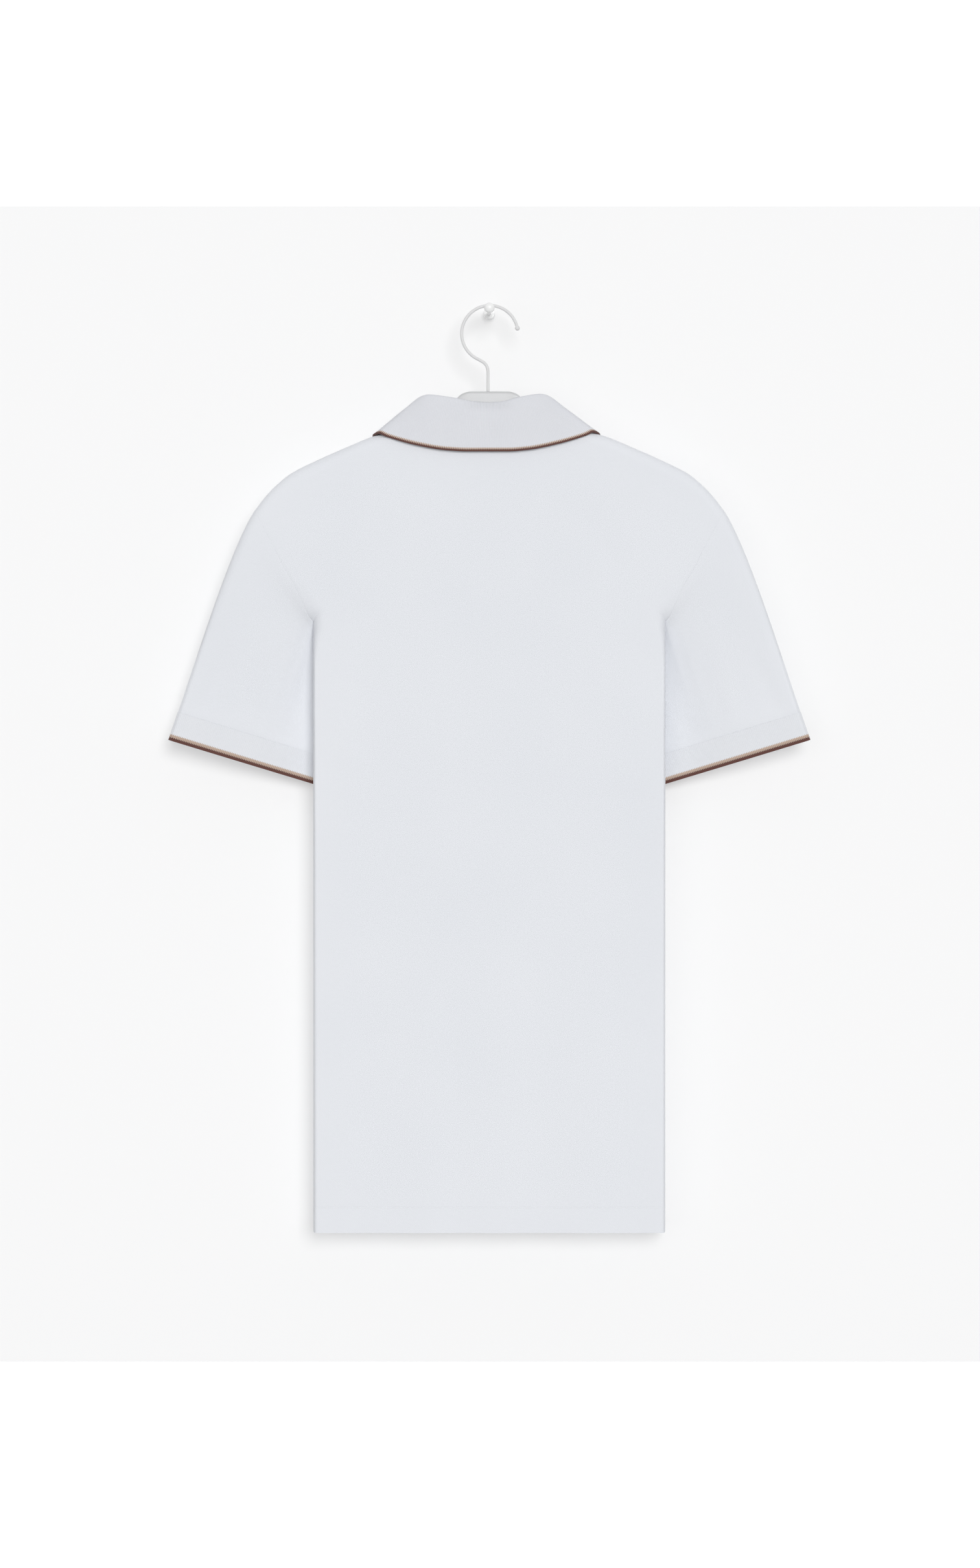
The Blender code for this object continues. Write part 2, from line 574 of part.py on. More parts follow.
# ---------------------------------------------------------------- collar, placket and buttons
def make_collar(home, rib):
    """Stand and fall in one piece: two cubic curves at each station, that meet on the fold's crest."""
    knots = np.arange(len(COLLAR))
    at = np.linspace(0.0, knots[-1], COLLAR_COLUMNS + 1)
    around, fx, fy, fz, ex, ey, ez = [smooth_table(at, knots, column(COLLAR, field)) for field in
                                      ("around", "fold_x", "fold_y", "fold_z", "edge_x", "edge_y", "edge_z")]
    front = at > float(np.argmax(column(COLLAR, "around")))
    side = np.where(front, 1.0, -1.0)
    neck_z = np.where(front, top_line(around * NECK_X, True), top_line(around * NECK_X, False))
    foot = np.stack([around * (NECK_X - COLLAR_INSET),
                     HANGER_Y + side * STAND_DEPTH * np.sqrt(1.0 - around ** STAND_SQUARE),
                     neck_z - STAND_TUCK], axis=1)
    crest = np.stack([fx, HANGER_Y + fy, fz], axis=1)
    edge = np.stack([ex, HANGER_Y + ey, ez], axis=1)
    run = np.gradient(crest, axis=0)
    run[0, 1] = 0.0
    outward = unit(np.stack([run[:, 1], -run[:, 0], np.zeros(len(at))], axis=1)) * FOLD_WAY
    rise = np.linalg.norm(crest - foot, axis=1, keepdims=True) * np.array([0.0, 0.0, 1.0])
    stand = [hermite(foot, rise, crest, outward, t) for t in np.linspace(0.0, 1.0, STAND_PARTS + 1)]
    fall = [hermite(crest, outward, edge, edge - crest, t) for t in np.linspace(0.0, 1.0, FALL_PARTS + 1)]
    grid = mirrored(np.stack(stand + fall[1:]))
    normal = grid_normals(grid, 1.0)
    if normal[-1, COLLAR_COLUMNS, 1] > 0.0:
        normal = -normal
    wall("collar", grid, normal, rib, home, RIB / 2, RIB / 2)


def make_strip(name, x_from, x_to, top, bottom, y, home, finish):
    """Flat strip behind or in front of the front panel, from the panel's plane moved by a set distance."""
    x = np.linspace(x_from, x_to, 4)
    z = np.linspace(bottom, top, 6)
    grid = np.zeros((len(z), len(x), 3))
    grid[..., 0] = x[None, :]
    grid[..., 1] = y
    grid[..., 2] = z[:, None]
    normal = np.zeros_like(grid)
    normal[..., 1] = 1.0
    wall(name, grid, normal, finish, home, PLACKET_WALL / 2, PLACKET_WALL / 2)


def turned(name, profile, out, centre_x, centre_z, finish, home, towards_wall=False):
    """Turned solid on an axis along Y. profile: radius and height from the top's middle to the bottom's."""
    mesh = bpy.data.meshes.new(name)
    points = [(radius * MM, 0.0, height * MM) for radius, height in profile]
    mesh.from_pydata(points, [(i, i + 1) for i in range(len(points) - 1)], [])
    mesh.materials.append(finish)
    made = bpy.data.objects.new(name, mesh)
    home.objects.link(made)
    screw = made.modifiers.new("turn", "SCREW")
    screw.axis = "Z"
    screw.steps = TURNED_STEPS
    screw.render_steps = TURNED_STEPS
    screw.use_merge_vertices = True
    screw.merge_threshold = 0.00001
    screw.use_smooth_shade = True
    made.rotation_euler = (math.radians(-90.0 if towards_wall else 90.0), 0.0, 0.0)
    made.location = (centre_x * MM, out * MM, centre_z * MM)
    return made


def rounded_rim(radius, low, high, turn):
    """Profile of a disc with rounded rims, from the top's middle to the bottom's."""
    steps = np.radians([90.0, 60.0, 30.0, 0.0])
    upper = [(radius - turn + turn * math.cos(a), high - turn + turn * math.sin(a)) for a in steps]
    lower = [(radius - turn + turn * math.cos(a), low + turn - turn * math.sin(a)) for a in steps[::-1]]
    return [(0.0, high)] + upper + lower + [(0.0, low)]


def make_front_fittings(home, jersey, plastic):
    panel_outer = HANGER_Y + HALF_DEPTH + CLOTH / 2
    panel_inner = HANGER_Y + HALF_DEPTH - CLOTH / 2
    half = PLACKET_WIDTH / 2
    make_strip("placket_top", -half, half, PLACKET_TOP, PLACKET_BOTTOM,
               panel_outer + GAP + PLACKET_WALL / 2, home, jersey)
    make_strip("placket_under", UNDER_FROM, UNDER_TO, UNDER_TOP, UNDER_BOTTOM,
               panel_inner - GAP - PLACKET_WALL / 2, home, jersey)
    button_y = panel_outer + GAP + PLACKET_WALL + GAP
    disc = rounded_rim(BUTTON_RADIUS, 0.0, BUTTON_THICK, BUTTON_ROUND)
    for number, z in enumerate(BUTTON_Z, start=1):
        turned("button_%d" % number, disc, button_y, 0.0, z, plastic, home, towards_wall=True)


# ---------------------------------------------------------------- hanger, hook and peg
def bar_ring(x, top, bottom, half):
    """Rounded rectangle across the bar: three points on each of its four corners."""
    corner = min(BAR_CORNER, half * 0.8)
    ring = []
    for y_sign, z_sign, start in ((1, 1, 0), (-1, 1, 90), (-1, -1, 180), (1, -1, 270)):
        centre_y = HANGER_Y + y_sign * (half - corner)
        centre_z = (top if z_sign > 0 else bottom) - z_sign * corner
        for degrees in (start, start + 45, start + 90):
            angle = math.radians(degrees)
            ring.append((x, centre_y + corner * math.cos(angle), centre_z + corner * math.sin(angle)))
    return ring


def make_hanger(home, finish):
    sections = [row._replace(x=-row.x) for row in BAR[:0:-1]] + BAR
    rings = [bar_ring(*row) for row in sections]
    points = [point for ring in rings for point in ring]
    sides = len(rings[0])
    faces = [tuple(range(sides))[::-1]]
    for r in range(len(rings) - 1):
        for c in range(sides):
            d = (c + 1) % sides
            faces.append((r * sides + c, r * sides + d, (r + 1) * sides + d, (r + 1) * sides + c))
    faces.append(tuple((len(rings) - 1) * sides + c for c in range(sides)))
    add_mesh("hanger", points, faces, finish, home, smooth=50.0)


def make_hook(home, finish):
    """Round wire bent to a hook, with a ball at its tip."""
    path = []
    for t in np.linspace(0.0, 1.0, HOOK_PARTS + 1):
        angle = math.radians(HOOK_FROM + (HOOK_TO - HOOK_FROM) * t)
        path.append((HOOK_CENTRE[0] + HOOK_RADIUS * math.cos(angle),
                     HOOK_CENTRE[1] + HOOK_RADIUS * math.sin(angle), WIRE_RADIUS))
    reach = KNOB_RADIUS + math.sqrt(KNOB_RADIUS ** 2 - WIRE_RADIUS ** 2)
    knob = []
    for t in np.linspace(0.04, 1.0, KNOB_PARTS):
        along = reach * (1.0 - math.cos(math.pi / 2 * t))
        swell = math.sqrt(max(KNOB_RADIUS ** 2 - (along - KNOB_RADIUS) ** 2, 0.04))
        angle = math.radians(HOOK_FROM) + (along - reach) / HOOK_RADIUS
        knob.append((HOOK_CENTRE[0] + HOOK_RADIUS * math.cos(angle),
                     HOOK_CENTRE[1] + HOOK_RADIUS * math.sin(angle), swell))
    stem = [(x, z, WIRE_RADIUS) for x, z in STEM]
    path = knob + path[1:] + stem
    wire = bpy.data.curves.new("hook", "CURVE")
    wire.dimensions = "3D"
    wire.bevel_depth = WIRE_RADIUS * MM
    wire.bevel_resolution = 2
    wire.use_fill_caps = True
    line = wire.splines.new("POLY")
    line.points.add(len(path) - 1)
    for point, (x, z, radius) in zip(line.points, path):
        point.co = (x * MM, HANGER_Y * MM, z * MM, 1.0)
        point.radius = radius / WIRE_RADIUS
    line.use_smooth = True
    wire.materials.append(finish)
    made = bpy.data.objects.new("hook", wire)
    home.objects.link(made)


def make_peg(home, finish):
    leave = -math.acos(PEG_SHANK_RADIUS / PEG_HEAD_RADIUS)
    profile = [(0.0, PEG_HEAD_OUT + PEG_HEAD_RADIUS)]
    for angle in np.linspace(math.pi / 2, leave, 12)[1:]:
        profile.append((PEG_HEAD_RADIUS * math.cos(angle), PEG_HEAD_OUT + PEG_HEAD_RADIUS * math.sin(angle)))
    profile.append((PEG_SHANK_RADIUS, PEG_FOOT_LENGTH))
    for degrees in (90.0, 45.0, 0.0):
        angle = math.radians(degrees)
        profile.append((PEG_FOOT_RADIUS - PEG_FOOT_ROUND + PEG_FOOT_ROUND * math.cos(angle),
                        PEG_FOOT_LENGTH - PEG_FOOT_ROUND + PEG_FOOT_ROUND * math.sin(angle)))
    profile += [(PEG_FOOT_RADIUS, 0.0), (0.0, 0.0)]
    turned("peg", profile, 0.0, 0.0, 0.0, finish, home)


clear_scene()
object_home = collection()
jersey_finish = material("jersey", WHITE_JERSEY, 0.9)
rib_finish = material("rib", WHITE_RIB, 0.9)
plastic_finish = material("moulded plastic", WHITE_PLASTIC, 0.45)
paint_finish = material("white enamel", WHITE_PAINT, 0.35)
make_shirt(object_home, jersey_finish, rib_finish)
make_collar(object_home, rib_finish)
make_front_fittings(object_home, jersey_finish, plastic_finish)
make_hanger(object_home, plastic_finish)
make_hook(object_home, paint_finish)
make_peg(object_home, paint_finish)
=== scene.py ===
"""Looks of a polo shirt on a hanger: white jersey, rib collar and cuffs with two narrow stripes, a plain
moulded hanger, its wire hook and a small wall peg.

Every piece of cloth is a thin shell on a grid of middle points that is worked out from the tables below.
Tables and sizes are in millimetres, meshes in metres. The wall is the plane Y = 0 and +Z is up.
"""
import math
from collections import namedtuple

import bpy
import numpy as np
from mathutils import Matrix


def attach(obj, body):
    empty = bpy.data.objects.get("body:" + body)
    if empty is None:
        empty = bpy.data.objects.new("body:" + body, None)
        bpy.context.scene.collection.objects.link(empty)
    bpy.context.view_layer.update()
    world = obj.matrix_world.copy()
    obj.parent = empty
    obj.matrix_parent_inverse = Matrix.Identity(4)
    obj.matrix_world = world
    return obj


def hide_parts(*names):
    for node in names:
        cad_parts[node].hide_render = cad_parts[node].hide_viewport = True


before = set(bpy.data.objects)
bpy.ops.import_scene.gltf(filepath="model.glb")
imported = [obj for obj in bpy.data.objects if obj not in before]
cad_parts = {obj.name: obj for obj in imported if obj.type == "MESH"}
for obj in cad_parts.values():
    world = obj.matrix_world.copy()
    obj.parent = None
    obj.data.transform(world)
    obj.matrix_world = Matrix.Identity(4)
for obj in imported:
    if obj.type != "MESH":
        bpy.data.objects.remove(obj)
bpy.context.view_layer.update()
MM = 0.001
MIRROR = np.array([-1.0, 1.0, 1.0])


def table(columns, *rows):
    """Columns of numbers by their names, from rows of them."""
    return namedtuple("Table", columns)(*np.array(rows, float).T)


# ---------------------------------------------------------------- driving sizes, mm
HANGER_Y = -34.0  # plane of the hanger, in front of the wall
CLOTH = 1.6  # wall of the jersey
RIB = 1.8  # wall of the flat-knit collar and cuffs
GAP = 0.05  # between pieces at a seam
SEWN_GAP = 0.3  # between strips laid on one another
HALF_DEPTH = 9.0  # half the depth of the hollow over the hanger
HEM_EXTRA = 1.0  # extra thickness that the turned-up hem adds inside

HEM_Z = -833.0
HEM_HEIGHT = 22.6
UNDERARM_Z = -346.0
SHOULDER_Z = -182.5  # shoulder point, where the armhole starts
SHOULDER_X = 211.2
NECK_X = 79.2  # high point of the shoulder, 6/16 of the shoulder's reach
NECK_Z = -104.0
BACK_NECK_Z = -115.0
FRONT_NECK_Z = -176.0
BACK_NECK_POWER = 2.0  # how square the back's neckline is
FRONT_NECK_POWER = 2.2
NECK_SQUARE = 6  # power that keeps the neck opening deep close to its corners
SWELL_REACH = 30.0  # width over which the front swells at the armhole
LIP_RADIUS = 4.0  # small turn of the hidden armhole edge towards the wall
TAPER = 45.0  # width over which the hollow narrows towards the folded side

TURN_WEIGHT = 19.0  # a radian of bend gets as many columns as this many mm
EDGE_WEIGHT = 36.0  # and the rounded side seam as many as this

# One row for each section of the body, from the hem up the side to the shoulder point.
# reach: where the back ends sideways. bend: radius of the fold at the side. turn: how far the cloth has
# turned there. back: length that runs back behind. lip: turn of the open edge. gap: half the hollow at
# the side. taper: where the hollow has narrowed to it. open: 0 at the side seam, 1 at the armhole.
# swell: how far the front stands towards the wall at the armhole.
BODY = table(
    "z reach bend turn back lip gap taper open swell",
    (-833, 158.5, 15, 180, 56, 0, 3.2, 84, 0, 0),
    (-650, 158.5, 14.5, 180, 57, 0, 3.2, 84, 0, 0),
    (-500, 158.5, 13.5, 180, 57, 0, 3.2, 84, 0, 0),
    (-400, 158.5, 12, 180, 56, 0, 3.2, 84, 0, 0),
    (-346, 158.5, 11, 180, 54, 0, 3.2, 86, 0, 0),
    (-338, 158.5, 10.8, 180, 47, 80, 3.2, 90, 0.8, 0),
    (-328, 158.5, 10.5, 180, 32, 85, 3.2, 98, 1, 0.5),
    (-316, 158.5, 10.3, 180, 14, 80, 3.2, 112, 1, 1.5),
    (-306, 158.5, 10.2, 178, 2, 50, 3.2, 126, 1, 3.5),
    (-298, 158.5, 10.2, 152, 0, 20, 3.2, 136, 1, 5.5),
    (-290, 158.5, 10.2, 122, 0, 0, 3.2, 143, 1, 8),
    (-283, 158.5, 10.6, 88, 0, 0, 3.2, 147, 1, 9),
    (-278, 162.2, 14, 56, 0, 0, 3.4, 149, 1, 8.5),
    (-272, 165, 19, 36, 0, 0, 3.6, 152, 1, 8),
    (-262, 169.5, 28, 21, 0, 0, 4, 157, 1, 6),
    (-251, 174.5, 40, 12, 0, 0, 4.6, 163, 1, 4),
    (-234.5, 184.4, 60, 5, 0, 0, 5.6, 175, 1, 1.5),
    (-220, 191.4, 60, 1, 0, 0, 6.4, 182, 1, 0),
    (-200, 202, 60, 0, 0, 0, 7.2, 192, 1, 0),
    (-182.5, 211.2, 60, 0, 0, 0, 8, 200, 1, 0),
)
# Heights of the rows of points, read at the side.
ARMHOLE_ROWS = [-339.0, -331.0, -322.0, -313.0, -305.0, -297.0, -290.0, -283.0, -277.0, -270.0,
                -260, -248, -234.5, -218, -202, -191.5, -186.6, -183.8, -182.5]

SHOULDER = table(
    "x z",
    (79.2, -104),
    (96, -112.9),
    (104.4, -115.4),
    (132.5, -127),
    (153.5, -136.3),
    (179.1, -149.3),
    (190.2, -158.2),
    (201.3, -169.6),
    (211.2, -182.5),
)

# Sleeve: its end is a flat ring from the outer to the inner corner.
SLEEVE_OUTER = (280.6, -363.9)
SLEEVE_INNER = (120.6, -413.2)
CUFF_OUTER = (289.3, -389.2)
CUFF_INNER = (130.9, -437.7)
SLEEVE_HALF = 4.6  # half the hollow of the sleeve's end
LEAVE_BEHIND = 36.0  # how strongly the sleeve first turns towards the wall below the fold
LEAVE_FRONT = 60.0  # and how much more its front does
UNDER_WIDTH = 0.05  # part of the armhole, each side of the underarm, that leaves by UNDER_WAY
UNDER_WAY = (-30.0, 46.0, -4.0)
# How far the sleeve's end stands towards the wall; across is 0 at its outer corner and 1 at its inner one.
SLEEVE_DEPTH = table(
    "across y",
    (0, 3),
    (0.35, 8),
    (0.7, 20),
    (0.85, 23.5),
    (1, 24),
)

# Collar: one row for each station from the centre back round to the centre front.
# around: share of the neckline's half width, on the back up to the largest and on the front after it;
# then the crest of the fold and the outer edge of the fall. Y is from the hanger plane.
COLLAR = table(
    "around fold_x fold_y fold_z edge_x edge_y edge_z",
    (0, 0, -10, -86.2, 0, -12.8, -129.6),
    (0.22, 14, -10, -85, 18, -12.8, -129.6),
    (0.44, 28, -9.8, -81.8, 37, -12.8, -128.4),
    (0.78, 50, -9, -78.6, 66, -12.6, -122.9),
    (0.945, 59, -6.5, -81.2, 90, -11.4, -115.6),
    (0.985, 61.5, -4, -84, 97, -8.6, -112.5),
    (0.997, 63, -1, -86, 101.6, -1, -113.2),
    (0.985, 62.5, 3, -89, 103, 7.5, -116.3),
    (0.945, 61, 6, -93, 103.5, 11.8, -128),
    (0.78, 50, 10, -112, 97, 13.2, -153),
    (0.47, 31, 12, -141, 80, 14, -184),
    (0.04, 6, 13.5, -163, 56, 14.6, -212),
)
CREST_ASIDE = -4.3  # the collar sits a little to one side: its crest by this much
EDGE_ASIDE = -2.8  # and its free edge by this much
ASIDE_STATIONS = (0.0, 3.0, 6.0, 10.0)  # stations where that starts, is full, lessens and ends
COLLAR_TILT = 0.006  # and it hangs lower on that side, by this share of the width
COLLAR_INSET = 5.5  # the stand is sewn just inside the neckline
STAND_DEPTH = 6.0  # of the stand's foot from the hanger plane
STAND_SQUARE = 4  # power of the stand's foot line in plan
STAND_TUCK = 3.0  # how far the stand reaches below the neckline
FOLD_WAY = 14.0  # how roundly the collar goes over its crest

PLACKET_WIDTH = 32.0
PLACKET_TOP = -178.0
PLACKET_BOTTOM = -330.0
PLACKET_WALL = 1.4
UNDER_FROM = -14.0  # the under strip, beside and below the collar's ends
UNDER_TO = 18.0
UNDER_TOP = -183.0
UNDER_BOTTOM = -326.0
BUTTON_RADIUS = 5.5
BUTTON_THICK = 2.4
BUTTON_ROUND = 0.7
BUTTON_Z = (-188.0, -238.0, -288.0)
BUTTON_SPOKES = 96  # points round it
BUTTON_FINE = (3.9, 34)  # its rings are closer up to this radius, and so many
BUTTON_RIM = (4.05, 6)  # then they go on from this one
RIM_START = 80.0  # degrees, the first ring of its rounded rim
BUTTON_CENTRE = 0.02  # radius of its first and last rings
DISH_DEPTH = 0.55
DISH_EDGE = (4.6, 3.4)  # radii from the rim down to the dish
HOLE_PLACE = 1.15  # of each hole's middle, across and up
HOLE_EDGE = (0.75, 0.5)
HOLE_DEPTH = 0.7
CROSS_HEIGHT = 0.75  # of the sewing thread
CROSS_END = (1.75, 1.45)  # radii where it ends
CROSS_SIDE = (0.42, 0.15)  # half its width

# Hanger bar: one row for each section from the middle outwards.
BAR = table(
    "x top bottom half",
    (0, -74.6, -128, 4.8),
    (17, -74.6, -128.5, 4.8),
    (24, -76.4, -129, 4.8),
    (29, -80.4, -129.5, 4.8),
    (34, -89, -130, 4.7),
    (44, -102, -131.5, 4.1),
    (60, -112.5, -134.5, 3),
    (67, -117, -135.5, 1.8),
    (72, -118, -137, 2),
    (79, -118.5, -139, 2.6),
    (104.4, -119.5, -145, 3.8),
    (132.5, -131, -153, 4.2),
    (153.5, -140.6, -160, 4),
    (179.1, -154, -169, 3.6),
    (188, -161.5, -171.5, 3),
    (193, -165.5, -170.5, 1.8),
)
BAR_CORNER = 2.4  # radius of the bar's long corners
BAR_CORNER_SHARE = 0.8  # and at most this share of half the bar
ROUND_POINTS = 7  # points of a small quarter round
POINT = 0.01  # radius of a ring that is meant as a point
BAR_STEPS = 150  # rings from the middle to the end
BAR_END_OUT = (0.5, 0.8, 0.8)  # three more beyond it, this far out
BAR_END_SHARE = (0.75, 0.4, 0.01)  # and this share as tall and as thick

WIRE_RADIUS = 1.4
HOOK_RADIUS = 25.4
HOOK_CENTRE = (0.4, -22.1)
HOOK_FROM = 15.0  # degrees, at the tip
HOOK_TO = 246.0  # degrees, where the wire leaves the round
HOOK_POINTS = (121, 15, 21)  # along the round, the ball and the stem
STEM = [(-4.8, -48.2), (-2.2, -51.8), (-1.2, -57.0), (-1.2, -66.0), (-1.2, -74.3)]
KNOB_RADIUS = 2.2

PEG_FOOT_RADIUS = 5.3
PEG_FOOT_LENGTH = 7.0
PEG_FOOT_ROUND = 0.8
PEG_SHANK_RADIUS = 1.6
PEG_HEAD_RADIUS = 4.7
PEG_NECK = 4.6  # from the ball's middle back to the straight shank
PEG_HEAD_OUT = 42.0  # middle of the ball, in front of the wall
PEG_POINTS = (40, 3, 9)  # along the ball, the shank and the foot's rim
PEG_SIDES = 64

# ---------------------------------------------------------------- finer sizes for the surfaces, mm
CLOTH_SHOWN = 1.2  # jersey as a thin shell
FINE_COLUMNS = 96  # from the middle to the side, 36 of them up to the neck's corner
HEM_ROWS = 14
SIDE_ROWS = 100
SLEEVE_STEPS = 44
CUFF_STEPS = 12
COLLAR_STEPS = 100  # stations on each side
STAND_STEPS = 16
FALL_STEPS = 26
PRESS = 0.86  # the sides' folds are pressed: so much of their radius goes
PRESS_FROM = -286.0  # from nothing at this height
PRESS_FULL = -332.0  # to all of it below this one
WIDE_PART = 1.0 / 6.0  # share of the turn that the wide arc between two tight ones takes
INNER_ROUND = 1.2  # least radius of the front inside the fold
SPAN_WAY = (0.55, 0.0, 0.55)  # share of its own span along which a line of the sleeve leaves
BEHIND_PART = (0.26, 0.58)  # part of the armhole over which LEAVE_BEHIND grows
FRONT_PART = (0.05, 0.5)  # and LEAVE_FRONT
SHOULDER_WAY = (0.934, 0.0, 0.357)  # the sleeve first swings this way at the shoulder
SHOULDER_FULL = 25.0  # so strongly
SHOULDER_PART = 0.42  # and no more past this part of the armhole
ARRIVE = 0.9  # share of its span by which a line arrives at the cuff seam
ROWS_POWER = 1.25  # draws the sleeve's rows towards the armhole
EVEN_AROUND = (0.10, 0.34, 0.76, 0.92)  # round the sleeve, evening out starts, is full, lessens and ends
EVEN_ALONG = (0.0, 0.34, 0.8, 1.0)  # and the same along it
EVEN_ROUNDS = 260  # passes that even out the sleeve's depth beside the body
WALE = 1.63  # pitch of the rib
HEM_NEAR = (0.4, 1.2)  # rows on each side of the hem's upper edge, this far from it
ARMHOLE_PARTS = 3  # rows of the surface for each of ARMHOLE_ROWS
SIDE_QUIET = (2.0, 22.0)  # creases grow over these distances from the side
TOP_QUIET = (2.0, 16.0)  # and from the top
SLEEVE_QUIET = (0.02, 0.2, 0.93, 1.0)  # and over these parts of the sleeve's length
GROOVE_REACH = 1.1  # how far a seam's groove goes
GROOVE_LESS = 0.85  # share by which it is shallower near the shoulder
GROOVE_LESS_Z = (-240.0, -208.0)  # none of it below the first height, all of it above the second
FAR = 1000.0  # farther from a seam than any groove reaches
SLACK = 0.5  # a place counts as reached from this near
SIDE_END = 3.0  # the side's rows end this far below the underarm
SLEEVE_V = 4 * HEM_HEIGHT  # V of the cuff seam, well away from the hem's sewing
STRIP_STEPS = (48, 160)  # cells of a strip across and along
FOLD_FROM = 34.0  # distance from the free edge where the rib starts to open over the fold
FOLD_FULL = 42.5  # and where it is open
COLLAR_STRIPES = (2.15, 3.5)  # farthest from the free edge that brown reaches and that tan reaches
CUFF_STRIPES = (3.5, 6.1)

CREASE_LENGTH = (0.0, 0.45, 0.95, 1.25)  # shares of its length where one starts, is full, lessens and ends
# Soft ridges (height above 0) and troughs in a panel. A row holds the place across and z where one starts,
# the same where it ends, its width and its height. Across is measured from the middle along the cloth.
BACK_CREASES = [
    (-62, -560, -56, -850, 17, 0.9),
    (-30, -610, -25, -850, 15, -0.8),
    (6, -500, 12, -850, 19, 0.9),
    (52, -590, 47, -850, 18, -0.9),
    (92, -540, 96, -850, 20, 0.8),
    (-112, -600, -108, -850, 20, -0.8),
    (128, -250, 84, -190, 14, -0.7),
    (-130, -252, -92, -196, 15, -0.6),
    (148, -330, 120, -420, 15, 0.6),
    (-148, -326, -126, -404, 15, 0.6),
]
FRONT_CREASES = [
    (-58, -520, -52, -850, 18, 0.9),
    (-14, -600, -8, -850, 15, -0.8),
    (34, -480, 40, -850, 18, 0.9),
    (76, -560, 70, -850, 18, -0.9),
    (100, -330, 60, -270, 16, 0.8),
    (-102, -334, -66, -262, 14, 0.7),
    (60, -180, 36, -240, 13, -0.7),
    (-60, -184, -34, -236, 12, -0.6),
]
# On a sleeve across is the place round it, 0 to 2 as in flat_ring, and z the share of its length.
SLEEVE_CREASES = [
    (0.16, 0.55, 0.10, 1.05, 0.05, -0.9),
    (0.30, 0.30, 0.36, 1.05, 0.06, 0.7),
    (0.62, 0.20, 0.58, 1.05, 0.06, -0.6),
    (1.30, 0.30, 1.36, 1.05, 0.06, 0.8),
    (1.62, 0.25, 1.56, 1.05, 0.05, -0.8),
]


# ---------------------------------------------------------------- small mathematics
def smooth_table(at, knots, values):
    """Cubic pieces through the knots whose slope at each knot is the harmonic mean of its neighbours'."""
    width = np.diff(knots)
    slope = np.diff(values) / width
    same = slope[:-1] * slope[1:] > 0.0
    inner = np.where(same, 2.0 * slope[:-1] * slope[1:] / np.where(same, slope[:-1] + slope[1:], 1.0), 0.0)
    tangent = np.concatenate([slope[:1], inner, slope[-1:]])
    at = np.clip(at, knots[0], knots[-1])
    cell = np.clip(np.searchsorted(knots, at, side="right") - 1, 0, len(width) - 1)
    t = (at - knots[cell]) / width[cell]
    return hermite(values[cell], width[cell] * tangent[cell], values[cell + 1],
                   width[cell] * tangent[cell + 1], t)


def smoothstep(low, high, value):
    """0 below low, 1 above high and 3t^2 - 2t^3 between them."""
    t = np.clip((value - low) / (high - low), 0.0, 1.0)
    return t * t * (3.0 - 2.0 * t)


def plateau(begin, full, fade, end, value):
    """0 before begin and past end, 1 from full to fade, smooth between."""
    return smoothstep(begin, full, value) * smoothstep(end, fade, value)


def unit(vectors):
    """Vectors divided by their own lengths."""
    length = np.linalg.norm(vectors, axis=-1, keepdims=True)
    return vectors / np.maximum(length, 1e-9)


def hermite(start, start_way, end, end_way, t):
    """Cubic curve from start to end that leaves along start_way and arrives along end_way."""
    return ((1 + 2 * t) * (1 - t) ** 2 * start + t * (1 - t) ** 2 * start_way
            + t * t * (3 - 2 * t) * end - t * t * (1 - t) * end_way)


def tangents(grid, axis, ring=False):
    """Directions along one axis of a grid: at each point the mean of the unit steps on both sides."""
    if ring:
        steps = unit(np.roll(grid, -1, axis=axis) - grid)
        return unit(steps + np.roll(steps, 1, axis=axis))
    steps = unit(np.diff(grid, axis=axis))
    first = np.take(steps, [0], axis=axis)
    last = np.take(steps, [-1], axis=axis)
    return unit(np.concatenate([first, steps], axis=axis) + np.concatenate([steps, last], axis=axis))


def grid_normals(grid, ring=False):
    """Unit normals of a grid: the cross product of its two directions."""
    return unit(np.cross(tangents(grid, 0), tangents(grid, 1, ring)))


def ridges(across, along, creases):
    """Sum of soft ridges. Each is a Gaussian across its line, that fades in and out over its length."""
    total = np.zeros(np.shape(across))
    for across_from, z_from, across_to, z_to, width, height in creases:
        way = np.array([across_to - across_from, z_to - z_from])
        length = np.hypot(*way)
        way = way / length
        off = np.stack([across - across_from, along - z_from], axis=-1)
        run = off @ way / length
        side = off[..., 0] * way[1] - off[..., 1] * way[0]
        total += height * np.exp(-(side / width) ** 2) * plateau(*CREASE_LENGTH, run)
    return total


# ---------------------------------------------------------------- meshes
TURN_ROUND = [0, 3, 2, 1]  # the same corners the other way round
SWEEP_ROUND = 10.0  # U once round a swept fitting


def quads(index):
    """Corners of each cell of a grid of indices, one row for each cell."""
    return np.stack([index[:-1, :-1], index[:-1, 1:], index[1:, 1:], index[1:, :-1]], axis=-1).reshape(-1, 4)


